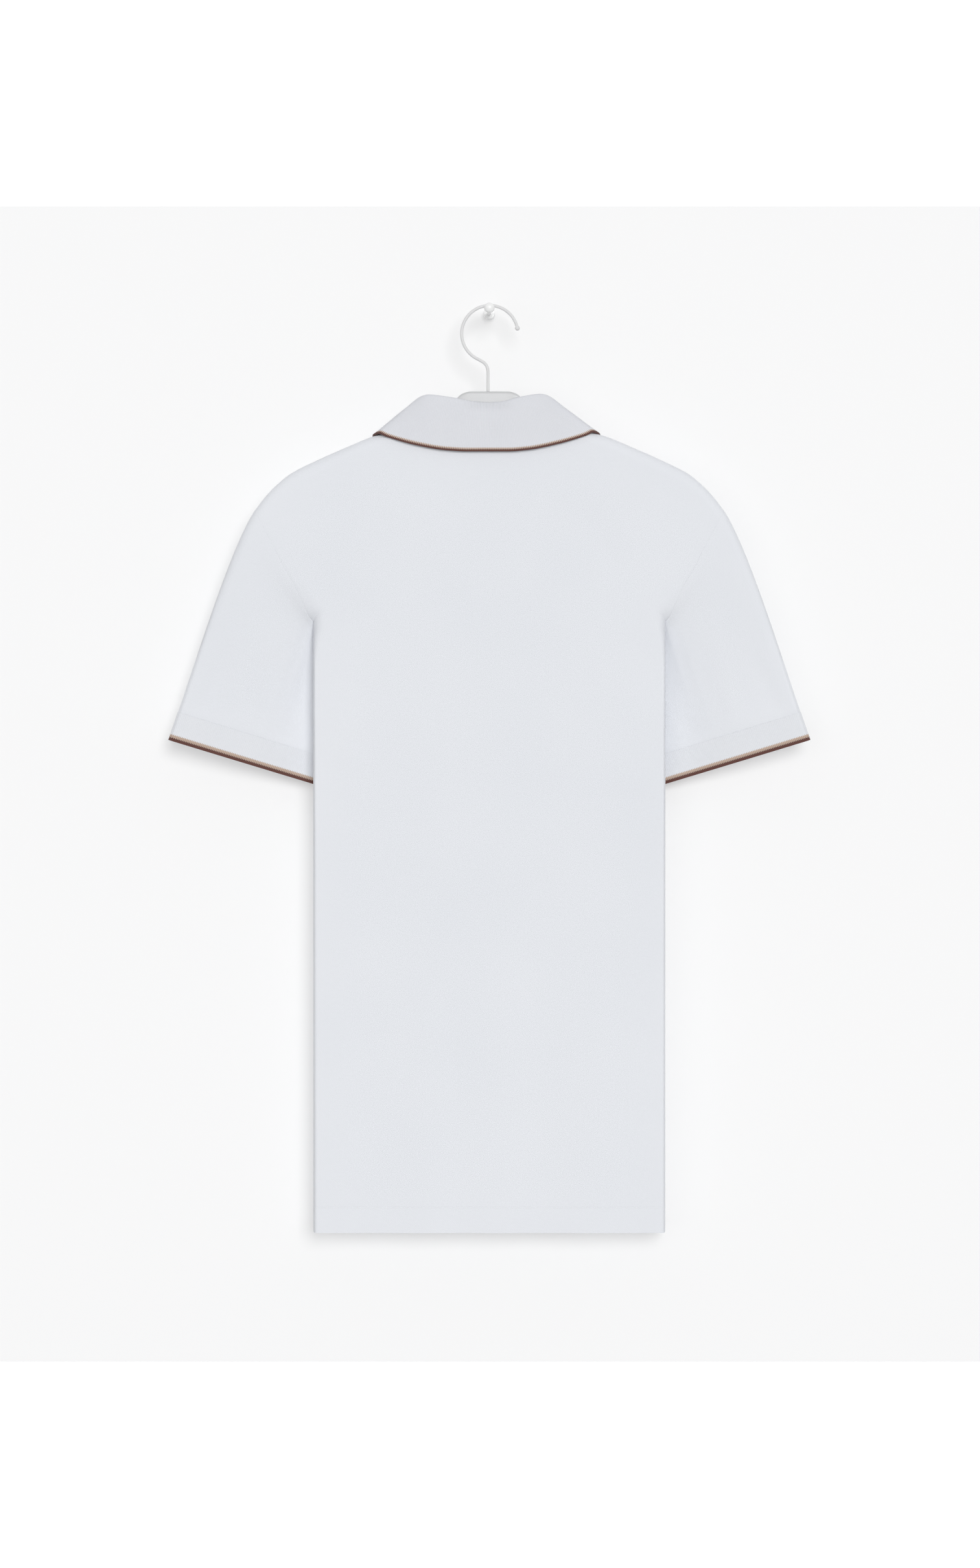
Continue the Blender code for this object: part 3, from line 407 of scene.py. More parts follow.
def add_piece(name, points, faces, corner_uv, finish, replaced, smooth=50.0):
    """Mesh from points in mm, quads as an index array and a UV pair for each corner of each quad."""
    mesh = bpy.data.meshes.new(name)
    mesh.vertices.add(len(points))
    mesh.vertices.foreach_set("co", (np.asarray(points) * MM).astype(np.float32).ravel())
    mesh.loops.add(faces.size)
    mesh.loops.foreach_set("vertex_index", faces.astype(np.int32).ravel())
    mesh.polygons.add(len(faces))
    mesh.polygons.foreach_set("loop_start", np.arange(0, faces.size, 4, dtype=np.int32))
    mesh.update(calc_edges=True)
    layer = mesh.uv_layers.new(name="cloth")
    layer.data.foreach_set("uv", (np.asarray(corner_uv) * MM).astype(np.float32).ravel())
    mesh.shade_smooth()
    mesh.set_sharp_from_angle(angle=math.radians(smooth))
    mesh.materials.append(finish)
    mesh.validate()
    made = bpy.data.objects.new(name, mesh)
    bpy.context.scene.collection.objects.link(made)
    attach(made, "root")
    if replaced:
        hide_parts(*replaced)
    return made


def shell(name, grid, normal, outer, inner, uv, finish, replaced, ring=False):
    """Thin closed wall round a grid of middle points.

    The outside is the grid plus outer times the normals and the inside is the grid minus inner times them;
    strips of quads join the two along each open edge. On a ring the last column repeats the first.
    """
    rows, columns = grid.shape[:2]
    used = columns - 1 if ring else columns
    outer = np.broadcast_to(np.asarray(outer, float), (rows, columns))[..., None]
    inner = np.broadcast_to(np.asarray(inner, float), (rows, columns))[..., None]
    outside = (grid + normal * outer)[:, :used]
    inside = (grid - normal * inner)[:, :used]
    points = np.concatenate([outside.reshape(-1, 3), inside.reshape(-1, 3)])
    vertex = np.arange(rows * used).reshape(rows, used)
    if ring:
        vertex = np.concatenate([vertex, vertex[:, :1]], axis=1)
    vertex = vertex.ravel()
    place = np.arange(rows * columns).reshape(rows, columns)

    corner = quads(place)
    a, b, c = (points[vertex[corner[:, i]]] for i in (0, 1, 3))
    turned = np.sum(np.cross(b - a, c - a) * normal.reshape(-1, 3)[corner[:, 0]]) < 0.0
    if turned:
        corner = corner[:, TURN_ROUND]
    corners = [corner, corner[:, TURN_ROUND]]
    edges = [(place[0], True), (place[-1], False)]
    if not ring:
        edges += [(place[:, 0], False), (place[:, -1], True)]
    for line, forward in edges:
        at, to = (line[1:], line[:-1]) if forward != turned else (line[:-1], line[1:])
        corners.append(np.stack([at, to, to, at], axis=1))
    corners = np.concatenate(corners)
    # A strip's quad has two corners on the outside and two on the inside.
    is_inside = np.tile([0, 0, 1, 1], (len(corners), 1))
    is_inside[:2 * len(corner)] = np.repeat([0, 1], len(corner))[:, None]
    faces = vertex[corners] + is_inside * (rows * used)
    return add_piece(name, points, faces, uv.reshape(-1, 2)[corners], finish, replaced)


def area_of(grid):
    """Area of a grid's quads in square metres: half the product of their diagonals, crossed."""
    first = grid[1:, 1:] - grid[:-1, :-1]
    second = grid[1:, :-1] - grid[:-1, 1:]
    return float(np.linalg.norm(np.cross(first, second), axis=-1).sum() / 2 * MM * MM)


# ---------------------------------------------------------------- body
def run_on(steps, turns, samples):
    """Curve in plan from steps and the angle turned in each: running sums of the length, x and y."""
    ends = np.cumsum(steps)
    s = np.linspace(0.0, ends[-1], samples)
    angle = np.interp(s, np.concatenate([[0.0], ends]), np.concatenate([[0.0], np.cumsum(turns)]))
    half_way = (angle[1:] + angle[:-1]) / 2
    x = np.concatenate([[0.0], np.cumsum(np.diff(s) * np.cos(half_way))])
    y = np.concatenate([[0.0], np.cumsum(np.diff(s) * np.sin(half_way))]) - HALF_DEPTH
    return s, x, y, angle


def section_curve(z, inner, samples=1400):
    """Curve in plan at side height z: straight, a turn, a run back and a small lip.

    The turn is a tight arc, a wide one and a tight one again, with the same chord as one even arc: tight
    radius r, wide radius (b sin(T/2) - r (sin(T/2) - sin(M/2))) / sin(M/2), where b is the even radius, T
    the whole angle and M the wide arc's. Straight and run back then grow until the side reaches its place.
    """
    cut = type(BODY)(*[float(smooth_table(z, BODY.z, values)) for values in BODY])
    turn = math.radians(cut.turn)
    lip = math.radians(cut.lip)
    tight = cut.bend * (1.0 - PRESS * float(smoothstep(PRESS_FROM, PRESS_FULL, z)))
    if inner:
        tight = max(tight, min(cut.bend, 2.0 * cut.gap + INNER_ROUND))
    middle = turn * WIDE_PART
    half_sine = math.sin(turn / 2)
    wide = cut.bend
    if turn > 1e-3:
        wide = (cut.bend * half_sine - tight * (half_sine - math.sin(middle / 2))) / math.sin(middle / 2)
    arc = (turn - middle) / 2
    straight = cut.reach - cut.bend * math.sin(min(turn, math.pi / 2))
    turns = [0.0, arc, middle, arc, 0.0, -lip]
    steps = np.array([straight, tight * arc, wide * middle, tight * arc, cut.back, LIP_RADIUS * lip])
    short = cut.reach - run_on(steps, turns, samples)[1].max()
    if short > 0.0:
        steps[[0, 4]] += short
    return (*run_on(steps, turns, samples), cut)


def spread_columns(s, angle, cut, columns):
    """Columns even by length, closer where the cloth bends and at the rounded side seam."""
    turning = np.concatenate([[0.0], np.abs(np.diff(angle))])
    step = np.concatenate([[0.0], np.diff(s)])
    near_seam = np.where(s > s[-1] - cut.gap, step / cut.gap, 0.0) * (1.0 - cut.open)
    weight = np.cumsum(step + TURN_WEIGHT * turning + EDGE_WEIGHT * near_seam)
    return np.interp(np.linspace(0.0, weight[-1], columns + 1), weight, s)


def top_line(x, front):
    """Height of the neckline, a power of the place across, and of the shoulder seam beyond it."""
    inward = np.clip(x / NECK_X, 0.0, 1.0)
    low, power = (FRONT_NECK_Z, FRONT_NECK_POWER) if front else (BACK_NECK_Z, BACK_NECK_POWER)
    neck = low + (NECK_Z - low) * inward ** power
    return np.where(x < NECK_X, neck, smooth_table(x, SHOULDER.x, SHOULDER.z))


def half_panel(front, side_rows):
    """Middle points and UV of one half of the back or the front: rows from the hem up, columns outwards.

    The front is the back's curve moved in by the hollow. At the side seam and the shoulder seam both close
    on each other in a quarter round. U is the length along the section and V the height above the hem.
    """
    top_x = SHOULDER_X * np.arange(FINE_COLUMNS + 1) / FINE_COLUMNS
    top_z = top_line(top_x, front)
    closing = np.clip(top_x / NECK_X, 0.0, 1.0) ** NECK_SQUARE
    grid = np.zeros((len(side_rows), FINE_COLUMNS + 1, 3))
    across = np.zeros(grid.shape[:2])
    for r, z_side in enumerate(side_rows):
        s, x, y, angle, cut = section_curve(z_side, front)
        place = spread_columns(s, angle, cut, FINE_COLUMNS)
        px, py, pa = (np.interp(place, s, line) for line in (x, y, angle))
        narrowed = smoothstep(cut.taper - TAPER, cut.taper, place)
        half = HALF_DEPTH + (cut.gap - HALF_DEPTH) * narrowed
        from_seam = np.clip((s[-1] - place) / cut.gap, 0.0, 1.0)
        close = np.sqrt(1.0 - (1.0 - cut.open) * (1.0 - from_seam) ** 2)
        rise = max(0.0, (z_side - UNDERARM_Z) / (SHOULDER_Z - UNDERARM_Z))
        above = top_line(place / s[-1] * SHOULDER_X, front)
        z = UNDERARM_Z + rise * (above - UNDERARM_Z) if rise > 0.0 else np.full(len(place), z_side)
        below = np.clip((top_z - z) / HALF_DEPTH, 0.0, 1.0)
        close = close * np.sqrt(np.maximum(1.0 - closing * (1.0 - below) ** 2, 0.0))
        inward = half * (1.0 + close) if front else half * (1.0 - close)
        swell = cut.swell * smoothstep(s[-1] - SWELL_REACH, s[-1], place) if front else 0.0
        plan = px - np.sin(pa) * inward, py + np.cos(pa) * inward + HANGER_Y + swell
        grid[r] = np.stack([*plan, z], axis=1)
        across[r] = place
    return grid, across


def whole_panel(half, across):
    """The right half and its mirror image, and the place across with its sign."""
    left = half[:, :0:-1] * MIRROR
    return np.concatenate([left, half], axis=1), np.concatenate([-across[:, :0:-1], across], axis=1)


# ---------------------------------------------------------------- sleeve and cuff
def flat_ring(outer, inner, around, half):
    """Flattened ring between two corners, half its depth a quarter round at each; 0 to 2 goes once round."""
    across = np.where(around <= 1.0, around, 2.0 - around)
    side = np.where(around < 1.0, -1.0, 1.0) * (around % 1.0 > 0.0)
    corner = np.minimum(across, 1.0 - across) * math.hypot(outer[0] - inner[0], outer[1] - inner[1])
    round_off = np.sqrt(1.0 - (1.0 - np.clip(corner / half, 0.0, 1.0)) ** 2)
    depth = smooth_table(across, SLEEVE_DEPTH.across, SLEEVE_DEPTH.y)
    return np.stack([outer[0] + (inner[0] - outer[0]) * across, HANGER_Y + depth + side * half * round_off,
                     outer[1] + (inner[1] - outer[1]) * across], axis=1)


def sleeve_grid(back_edge, front_edge):
    """Sleeve: cubic lengthwise lines from the armhole to the flat ring of the cuff seam.

    They leave along their own span; the lower they start the more they first turn towards the wall. Beside
    the body the depth is then evened out, each point moving towards the mean of its neighbours.
    """
    armhole = np.concatenate([back_edge, front_edge[-2::-1]])
    length = np.concatenate([[0.0], np.cumsum(np.linalg.norm(np.diff(back_edge, axis=0), axis=1))])
    places = length / length[-1]
    around = np.concatenate([places, 2.0 - places[-2::-1]])
    across = np.minimum(around, 2.0 - around)
    span = flat_ring(SLEEVE_OUTER, SLEEVE_INNER, around, SLEEVE_HALF) - armhole
    start_way = span * np.array(SPAN_WAY)
    start_way[:, 1] = LEAVE_BEHIND * smoothstep(*BEHIND_PART, across)
    start_way[:, 1] += np.where(around > 1.0, LEAVE_FRONT, 0.0) * smoothstep(*FRONT_PART, across)
    start_way += np.array(SHOULDER_WAY) * (SHOULDER_FULL * smoothstep(SHOULDER_PART, 0.0, across))[:, None]
    under = np.exp(-((around - 1.0) / UNDER_WIDTH) ** 2)[:, None]
    start_way = start_way * (1.0 - under) + under * np.array(UNDER_WAY)
    axis = unit(np.array([CUFF_OUTER[0] - SLEEVE_OUTER[0], 0.0, CUFF_OUTER[1] - SLEEVE_OUTER[1]]))
    end_way = axis * np.linalg.norm(span, axis=1, keepdims=True) * ARRIVE
    steps = np.linspace(0.0, 1.0, SLEEVE_STEPS + 1) ** ROWS_POWER
    grid = np.stack([hermite(armhole, start_way, armhole + span, end_way, t) for t in steps])
    share_even = (plateau(*EVEN_AROUND, around) * plateau(*EVEN_ALONG, steps)[:, None])[:, 1:-1]
    depth = grid[..., 1]
    for _ in range(EVEN_ROUNDS):
        depth[:, 1:-1] += share_even * (depth[:, 2:] + depth[:, :-2] - 2.0 * depth[:, 1:-1]) / 4.0
    return grid, around, steps


def cuff_grid(around):
    """Rib band: flat rings from the cuff seam to its edge."""
    outer, inner = (np.linspace(start, end, CUFF_STEPS + 1)
                    for start, end in ((SLEEVE_OUTER, CUFF_OUTER), (SLEEVE_INNER, CUFF_INNER)))
    return np.stack([flat_ring(*corners, around, SLEEVE_HALF) for corners in zip(outer, inner)])


def ring_normals(grid):
    """Normals of a ring whose last column repeats its first, turned outwards from its middle line."""
    normal = grid_normals(grid[:, :-1], ring=True)
    normal = np.concatenate([normal, normal[:, :1]], axis=1)
    middle = grid.mean(axis=1, keepdims=True)
    return normal if np.sum((grid - middle) * normal) > 0.0 else -normal


def running(grid, axis):
    """Length along one axis of a grid, from its first point."""
    steps = np.linalg.norm(np.diff(grid, axis=axis), axis=-1)
    zero = np.zeros_like(np.take(steps, [0], axis=axis))
    return np.concatenate([zero, np.cumsum(steps, axis=axis)], axis=axis)


# ---------------------------------------------------------------- collar
def collar_grid():
    """Stand and fall: two cubic curves at each station, that meet on the fold's crest."""
    knots = np.arange(len(COLLAR.around))
    at = np.linspace(0.0, knots[-1], COLLAR_STEPS + 1)
    around, fx, fy, fz, ex, ey, ez = [smooth_table(at, knots, values) for values in COLLAR]
    front = at > float(np.argmax(COLLAR.around))
    side = np.where(front, 1.0, -1.0)
    neck_z = np.where(front, top_line(around * NECK_X, True), top_line(around * NECK_X, False))
    foot = np.stack([around * (NECK_X - COLLAR_INSET),
                     HANGER_Y + side * STAND_DEPTH * np.sqrt(1.0 - around ** STAND_SQUARE),
                     neck_z - STAND_TUCK], axis=1)
    crest = np.stack([fx, HANGER_Y + fy, fz], axis=1)
    edge = np.stack([ex, HANGER_Y + ey, ez], axis=1)
    run = np.gradient(crest, axis=0)
    run[0, 1] = 0.0
    outward = unit(np.stack([run[:, 1], -run[:, 0], np.zeros(len(at))], axis=1)) * FOLD_WAY
    aside = plateau(*ASIDE_STATIONS, at)
    halves = []
    for flip in (MIRROR, np.ones(3)):
        bottom, top, end, way = foot * flip, crest * flip, edge * flip, outward * flip
        for line, moved in ((top, CREST_ASIDE), (end, EDGE_ASIDE)):
            line[:, 2] += COLLAR_TILT * line[:, 0] * aside
            line[:, 0] += moved * aside
        rise = np.linalg.norm(top - bottom, axis=1, keepdims=True) * np.array([0.0, 0.0, 1.0])
        stand = [hermite(bottom, rise, top, way, t) for t in np.linspace(0.0, 1.0, STAND_STEPS + 1)]
        fall = [hermite(top, way, end, end - top, t) for t in np.linspace(0.0, 1.0, FALL_STEPS + 1)]
        halves.append(np.stack(stand + fall[1:]))
    return np.concatenate([halves[0][:, :0:-1], halves[1]], axis=1)


# ---------------------------------------------------------------- fittings
def closed_sweep(name, rings, finish, replaced, smooth=40.0):
    """Solid from rings of points, one after another, whose first and last rings have shrunk to a point."""
    rows, sides = rings.shape[:2]
    index = np.arange(rows * sides).reshape(rows, sides)
    face = quads(np.concatenate([index, index[:, :1]], axis=1))
    points = rings.reshape(-1, 3)
    corner = points[face]
    volume = np.sum(np.cross(corner[:, 0], corner[:, 1]) * corner[:, 2]
                    + np.cross(corner[:, 0], corner[:, 2]) * corner[:, 3])
    turn, run = np.meshgrid(np.linspace(0.0, SWEEP_ROUND, sides + 1), np.arange(float(rows)))
    spot = quads(np.arange(turn.size).reshape(turn.shape))
    if volume < 0.0:
        face, spot = face[:, TURN_ROUND], spot[:, TURN_ROUND]
    uv = np.stack([turn.ravel(), run.ravel()], axis=1)
    return add_piece(name, points, face, uv[spot], finish, replaced, smooth)


def wire_sweep(path, radius, sides=28):
    """Circles of given radii round a path in the hanger's plane: path + r (cos a * normal + sin a * Y)."""
    way = unit(np.gradient(path, axis=0))
    normal = np.stack([-way[:, 2], np.zeros(len(path)), way[:, 0]], axis=1)
    angle = np.linspace(0.0, 2.0 * math.pi, sides, endpoint=False)
    ring = (np.cos(angle)[None, :, None] * normal[:, None, :]
            + np.sin(angle)[None, :, None] * np.array([0.0, 1.0, 0.0]))
    return path[:, None, :] + ring * radius[:, None, None]


def make_hook(finish):
    """Wire bent to a hook: a ball at the tip, an arc, then the stem's points joined by a smooth curve."""
    arc_points, ball_points, stem_points = HOOK_POINTS
    arc = np.radians(np.linspace(HOOK_FROM, HOOK_TO, arc_points))
    reach = KNOB_RADIUS + math.sqrt(KNOB_RADIUS ** 2 - WIRE_RADIUS ** 2)
    along = reach * (1.0 - np.cos(np.linspace(0.0, math.pi / 2, ball_points)))
    ball = np.sqrt(np.maximum(KNOB_RADIUS ** 2 - (along - KNOB_RADIUS) ** 2, 0.0))
    tip = math.radians(HOOK_FROM) + (along - reach) / HOOK_RADIUS
    fine = np.linspace(0.0, len(STEM) - 1.0, stem_points)
    stem_x, stem_z = (smooth_table(fine, np.arange(len(STEM)), line) for line in np.array(STEM).T)
    around = np.concatenate([tip[:-1], arc])
    path_x = np.concatenate([HOOK_CENTRE[0] + HOOK_RADIUS * np.cos(around), stem_x, stem_x[-1:]])
    path_z = np.concatenate([HOOK_CENTRE[1] + HOOK_RADIUS * np.sin(around), stem_z, stem_z[-1:] - POINT])
    radius = np.concatenate([ball[:-1], np.full(len(arc) + len(stem_x), WIRE_RADIUS), [0.0]])
    radius = np.maximum(radius, POINT)
    path = np.stack([path_x, np.full(len(path_x), HANGER_Y), path_z], axis=1)
    closed_sweep("hook_wire", wire_sweep(path, radius), finish, ["hook"])


def make_hanger(finish):
    """Moulded bar: rounded rectangles across it, that follow the table along X, with rounded ends."""
    half_side = np.concatenate([np.linspace(0.0, BAR.x[-1], BAR_STEPS), BAR.x[-1] + np.array(BAR_END_OUT)])
    shrink = np.concatenate([np.ones(BAR_STEPS), BAR_END_SHARE])
    top, bottom, half = (smooth_table(half_side, BAR.x, values) for values in BAR[1:])
    middle = (top + bottom) / 2
    tall = (top - bottom) / 2 * shrink
    half = half * shrink
    corner = np.minimum(BAR_CORNER, np.minimum(half, tall) * BAR_CORNER_SHARE)
    quarters = np.array([0.0, 90.0, 180.0, 270.0])
    angle = np.radians(np.linspace(quarters, quarters + 90.0, ROUND_POINTS, axis=1)).ravel()
    middles = np.radians(quarters + 45.0).repeat(ROUND_POINTS)
    y_sign, z_sign = np.sign(np.cos(middles)), np.sign(np.sin(middles))
    y = HANGER_Y + y_sign * (half - corner)[:, None] + corner[:, None] * np.cos(angle)
    z = middle[:, None] + z_sign * (tall - corner)[:, None] + corner[:, None] * np.sin(angle)
    right = np.stack([np.broadcast_to(half_side[:, None], y.shape), y, z], axis=-1)
    left = right[:0:-1] * MIRROR
    closed_sweep("hanger_bar", np.concatenate([left, right]), finish, ["hanger"])


def make_peg(finish):
    """Turned peg: a foot with a rounded rim, a thin shank and a ball, revolved on an axis along Y."""
    leave = -math.acos(PEG_SHANK_RADIUS / PEG_HEAD_RADIUS)
    ball_points, shank_points, rim_points = PEG_POINTS
    ball = np.linspace(math.pi / 2, leave, ball_points)
    rim = np.linspace(math.pi / 2, 0.0, rim_points)
    radius = np.concatenate([PEG_HEAD_RADIUS * np.cos(ball), [PEG_SHANK_RADIUS] * shank_points,
                             PEG_FOOT_RADIUS - PEG_FOOT_ROUND + PEG_FOOT_ROUND * np.cos(rim),
                             [PEG_FOOT_RADIUS, POINT]])
    out = np.concatenate([PEG_HEAD_OUT + PEG_HEAD_RADIUS * np.sin(ball),
                          np.linspace(PEG_HEAD_OUT - PEG_NECK, PEG_FOOT_LENGTH, shank_points),
                          PEG_FOOT_LENGTH - PEG_FOOT_ROUND + PEG_FOOT_ROUND * np.sin(rim), [0.0, 0.0]])
    radius = np.maximum(radius, POINT)
    angle = np.linspace(0.0, 2.0 * math.pi, PEG_SIDES, endpoint=False)
    rings = np.stack([radius[:, None] * np.cos(angle), np.broadcast_to(-out[:, None], (len(out), PEG_SIDES)),
                      radius[:, None] * np.sin(angle)], axis=-1)
    closed_sweep("peg_turned", rings, finish, ["peg"])


def make_button(number, z, face_y, finish):
    """Four-hole button: a polar grid, raised at the rim and dished inside, with a dip at each hole and the
    sewing thread as a raised cross. Heights are measured from the cloth towards the wall."""
    r = np.concatenate([np.linspace(BUTTON_CENTRE, *BUTTON_FINE),
                        np.linspace(BUTTON_RIM[0], BUTTON_RADIUS - BUTTON_ROUND, BUTTON_RIM[1])])
    angle = np.linspace(0.0, 2.0 * math.pi, BUTTON_SPOKES, endpoint=False)
    u, v = r[:, None] * np.cos(angle), r[:, None] * np.sin(angle)
    dish = BUTTON_THICK - DISH_DEPTH * smoothstep(*DISH_EDGE, r)[:, None]
    hole = np.hypot(np.abs(u) - HOLE_PLACE, np.abs(v) - HOLE_PLACE)
    thread = np.minimum(np.abs(u - v), np.abs(u + v)) / math.sqrt(2.0)
    cross = smoothstep(*CROSS_END, np.hypot(u, v)) * smoothstep(*CROSS_SIDE, thread)
    height = dish - HOLE_DEPTH * smoothstep(*HOLE_EDGE, hole) + CROSS_HEIGHT * cross
    rim = np.radians(np.linspace(RIM_START, 0.0, ROUND_POINTS))
    rim_r = np.concatenate([BUTTON_RADIUS - BUTTON_ROUND + BUTTON_ROUND * np.cos(rim)] * 2)
    rim_h = BUTTON_ROUND * np.sin(rim)
    rim_z = np.concatenate([BUTTON_THICK - BUTTON_ROUND + rim_h, (BUTTON_ROUND - rim_h)[::-1]])
    rim_r[ROUND_POINTS:] = rim_r[ROUND_POINTS:][::-1]
    radius = np.concatenate([r, rim_r, [BUTTON_CENTRE]])
    tall = np.concatenate([height, np.tile(rim_z[:, None], (1, len(angle))), np.zeros((1, len(angle)))])
    rings = np.stack([radius[:, None] * np.cos(angle), face_y + tall,
                      z + radius[:, None] * np.sin(angle)], axis=-1)
    closed_sweep("button_%d_sewn" % number, rings, finish, ["button_%d" % number])


# ---------------------------------------------------------------- cloth
def finer(values, parts):
    """Each step between the values in equal parts."""
    return np.interp(np.linspace(0, len(values) - 1, parts * (len(values) - 1) + 1),
                     np.arange(len(values)), values)


def share(first, first_edge, second, second_edge):
    """Gives both sides of a seam the same normal."""
    joint = unit(first[first_edge] + second[second_edge])
    first[first_edge] = joint
    second[second_edge] = joint


def pull_back(grid, normal, edge, beside, distance):
    """Moves one edge of a grid back along its own surface, away from the seam."""
    way = grid[beside] - grid[edge]
    way = way - normal[edge] * np.sum(way * normal[edge], axis=-1, keepdims=True)
    grid[edge] = grid[edge] + unit(way) * distance


def uv_of(across, along):
    """U and V of each point; U may be one row for all."""
    return np.stack([np.broadcast_to(across, along.shape), along], axis=-1)


def from_seam(across, grid, side_rows):
    """Distance to the armhole, along the section, or to the shoulder seam, straight down; far if unsewn."""
    armhole = np.abs(across[:, -1:]) - np.abs(across)
    armhole = np.where(np.asarray(side_rows)[:, None] > UNDERARM_Z + SLACK, armhole, FAR)
    shoulder = grid[-1:, :, 2] - grid[:, :, 2]
    shoulder = np.where(np.abs(grid[-1:, :, 0]) > NECK_X - SLACK, shoulder, FAR)
    return np.minimum(armhole, shoulder)


def store(made, name, values):
    """Stores one number for each point of a shell's grid, on its outside and its inside."""
    layer = made.data.attributes.new(name, "FLOAT", "POINT")
    layer.data.foreach_set("value", np.tile(np.asarray(values).ravel(), 2).astype(np.float32))


def seam_groove(distance, height):
    """Depth of the groove along the nearest seam: 1 on it, 0 at its reach, less near the shoulder."""
    return smoothstep(GROOVE_REACH, 0.0, distance) * (1.0 - GROOVE_LESS * smoothstep(*GROOVE_LESS_Z, height))


def cloth_sheet(grid, rests_on):
    """Works out a shell's widest and longest run, and its area, and keeps none of them."""
    width = running(grid, 1)[:, -1].max() * MM
    length = running(grid, 0)[-1].max() * MM
    area = min(area_of(grid), width * length)


def make_shirt(jersey, rib):
    """Back, front, sleeves and cuffs: middle surfaces, soft ridges along the normals, then thin shells."""
    hem_top = HEM_Z + HEM_HEIGHT
    near, next_near = HEM_NEAR
    lower = np.concatenate([np.linspace(HEM_Z, hem_top - next_near, HEM_ROWS),
                            [hem_top - near, hem_top + near],
                            np.linspace(hem_top + next_near, UNDERARM_Z - SIDE_END, SIDE_ROWS)])
    armhole = finer([UNDERARM_Z] + ARMHOLE_ROWS, ARMHOLE_PARTS)
    side_rows = np.concatenate([lower, armhole])
    first_open = len(lower)
    panels = {}
    for label, front, creases in (("back", False, BACK_CREASES), ("front", True, FRONT_CREASES)):
        half, across = half_panel(front, side_rows)
        panel, across = whole_panel(half, across)
        normal = grid_normals(panel)
        if (normal[0, FINE_COLUMNS, 1] > 0.0) != front:
            normal = -normal
        panels[label] = (half, panel, across, normal, creases, from_seam(across, panel, side_rows))

    back_half, back, _, back_normal = panels["back"][:4]
    front_half, _, _, front_normal = panels["front"][:4]
    arm = np.arange(len(side_rows) - 1, first_open - 1, -1)
    sleeve, around, steps = sleeve_grid(back_half[arm, -1], front_half[arm, -1])
    sleeve_normal = ring_normals(sleeve)
    cuff = cuff_grid(around)
    cuff_normal = ring_normals(cuff)

    for side in (0, -1):
        share(back_normal, np.s_[:first_open, side], front_normal, np.s_[:first_open, side])
    shoulder = np.flatnonzero(np.abs(back[-1, :, 0]) > NECK_X - SLACK)
    share(back_normal, (-1, shoulder), front_normal, (-1, shoulder))
    count = len(arm)
    share(back_normal, (arm, -1), sleeve_normal, np.s_[0, :count])
    share(front_normal, (arm[::-1], -1), sleeve_normal, np.s_[0, count - 1:])
    sleeve_normal[0, -1] = sleeve_normal[0, 0]
    for normal in (back_normal, front_normal):
        normal[arm, 0] = normal[arm, -1] * MIRROR
    share(sleeve_normal, -1, cuff_normal, 0)

    for label, (_, panel, across, normal, creases, seam) in panels.items():
        quiet = smoothstep(*SIDE_QUIET, np.abs(across[:, -1:]) - np.abs(across))
        quiet = quiet * smoothstep(*TOP_QUIET, panel[-1:, :, 2] - panel[:, :, 2])
        panel = panel + normal * (ridges(across, panel[..., 2], creases) * quiet)[..., None]
        for edge, beside in ((np.s_[:, 0], np.s_[:, 1]), (np.s_[:, -1], np.s_[:, -2]), (-1, -2)):
            pull_back(panel, normal, edge, beside, GAP / 2)
        thick = CLOTH_SHOWN / 2 + np.where(side_rows < hem_top, HEM_EXTRA, 0.0)[:, None]
        uv = uv_of(across, np.broadcast_to(panel[..., 2] - HEM_Z, across.shape))
        made = shell(label + "_jersey", panel, normal, CLOTH_SHOWN / 2, thick, uv, jersey, [label])
        store(made, "seam_groove", seam_groove(seam, panel[..., 2]))
        cloth_sheet(panel, ["hanger_bar"])

    around_mm = around * running(cuff, 1)[0, -1] / 2.0
    ridge = ridges(*np.broadcast_arrays(around, steps[:, None]), SLEEVE_CREASES)
    quiet = plateau(*SLEEVE_QUIET, steps)
    sleeve = sleeve + sleeve_normal * (ridge * quiet[:, None])[..., None]
    pull_back(sleeve, sleeve_normal, -1, -2, GAP / 2)
    pull_back(cuff, cuff_normal, 0, 1, GAP / 2)
    down = running(sleeve, 0)
    cuff_up = running(cuff, 0)
    for label, way in (("right", np.ones(3)), ("left", MIRROR)):
        made = shell("sleeve_%s_jersey" % label, sleeve * way, sleeve_normal * way, CLOTH_SHOWN / 2,
                     CLOTH_SHOWN / 2, uv_of(around_mm, down[-1:] - down + SLEEVE_V), jersey,
                     ["sleeve_" + label], ring=True)
        store(made, "seam_groove", seam_groove(np.minimum(down, down[-1:] - down), sleeve[..., 2])[:, :-1])
        cloth_sheet(sleeve * way, ["hanger_bar"])
        made = shell("cuff_%s_rib" % label, cuff * way, cuff_normal * way, RIB / 2, RIB / 2,
                     uv_of(around_mm, cuff_up[-1:] - cuff_up), rib, ["cuff_" + label], ring=True)
        cloth_sheet(cuff * way, ["sleeve_%s_jersey" % label])


def make_collar(rib):
    """Collar shell. U is the length along the free edge from the middle, V the distance from that edge."""
    grid = collar_grid()
    normal = grid_normals(grid)
    if normal[-1, COLLAR_STEPS, 1] > 0.0:
        normal = -normal
    along = running(grid, 1)[-1]
    along = along - along[COLLAR_STEPS]
    down = running(grid, 0)
    made = shell("collar_rib", grid, normal, RIB / 2, RIB / 2, uv_of(along, down[-1:] - down), rib,
                 ["collar"])
    cloth_sheet(grid, ["back_jersey", "front_jersey"])


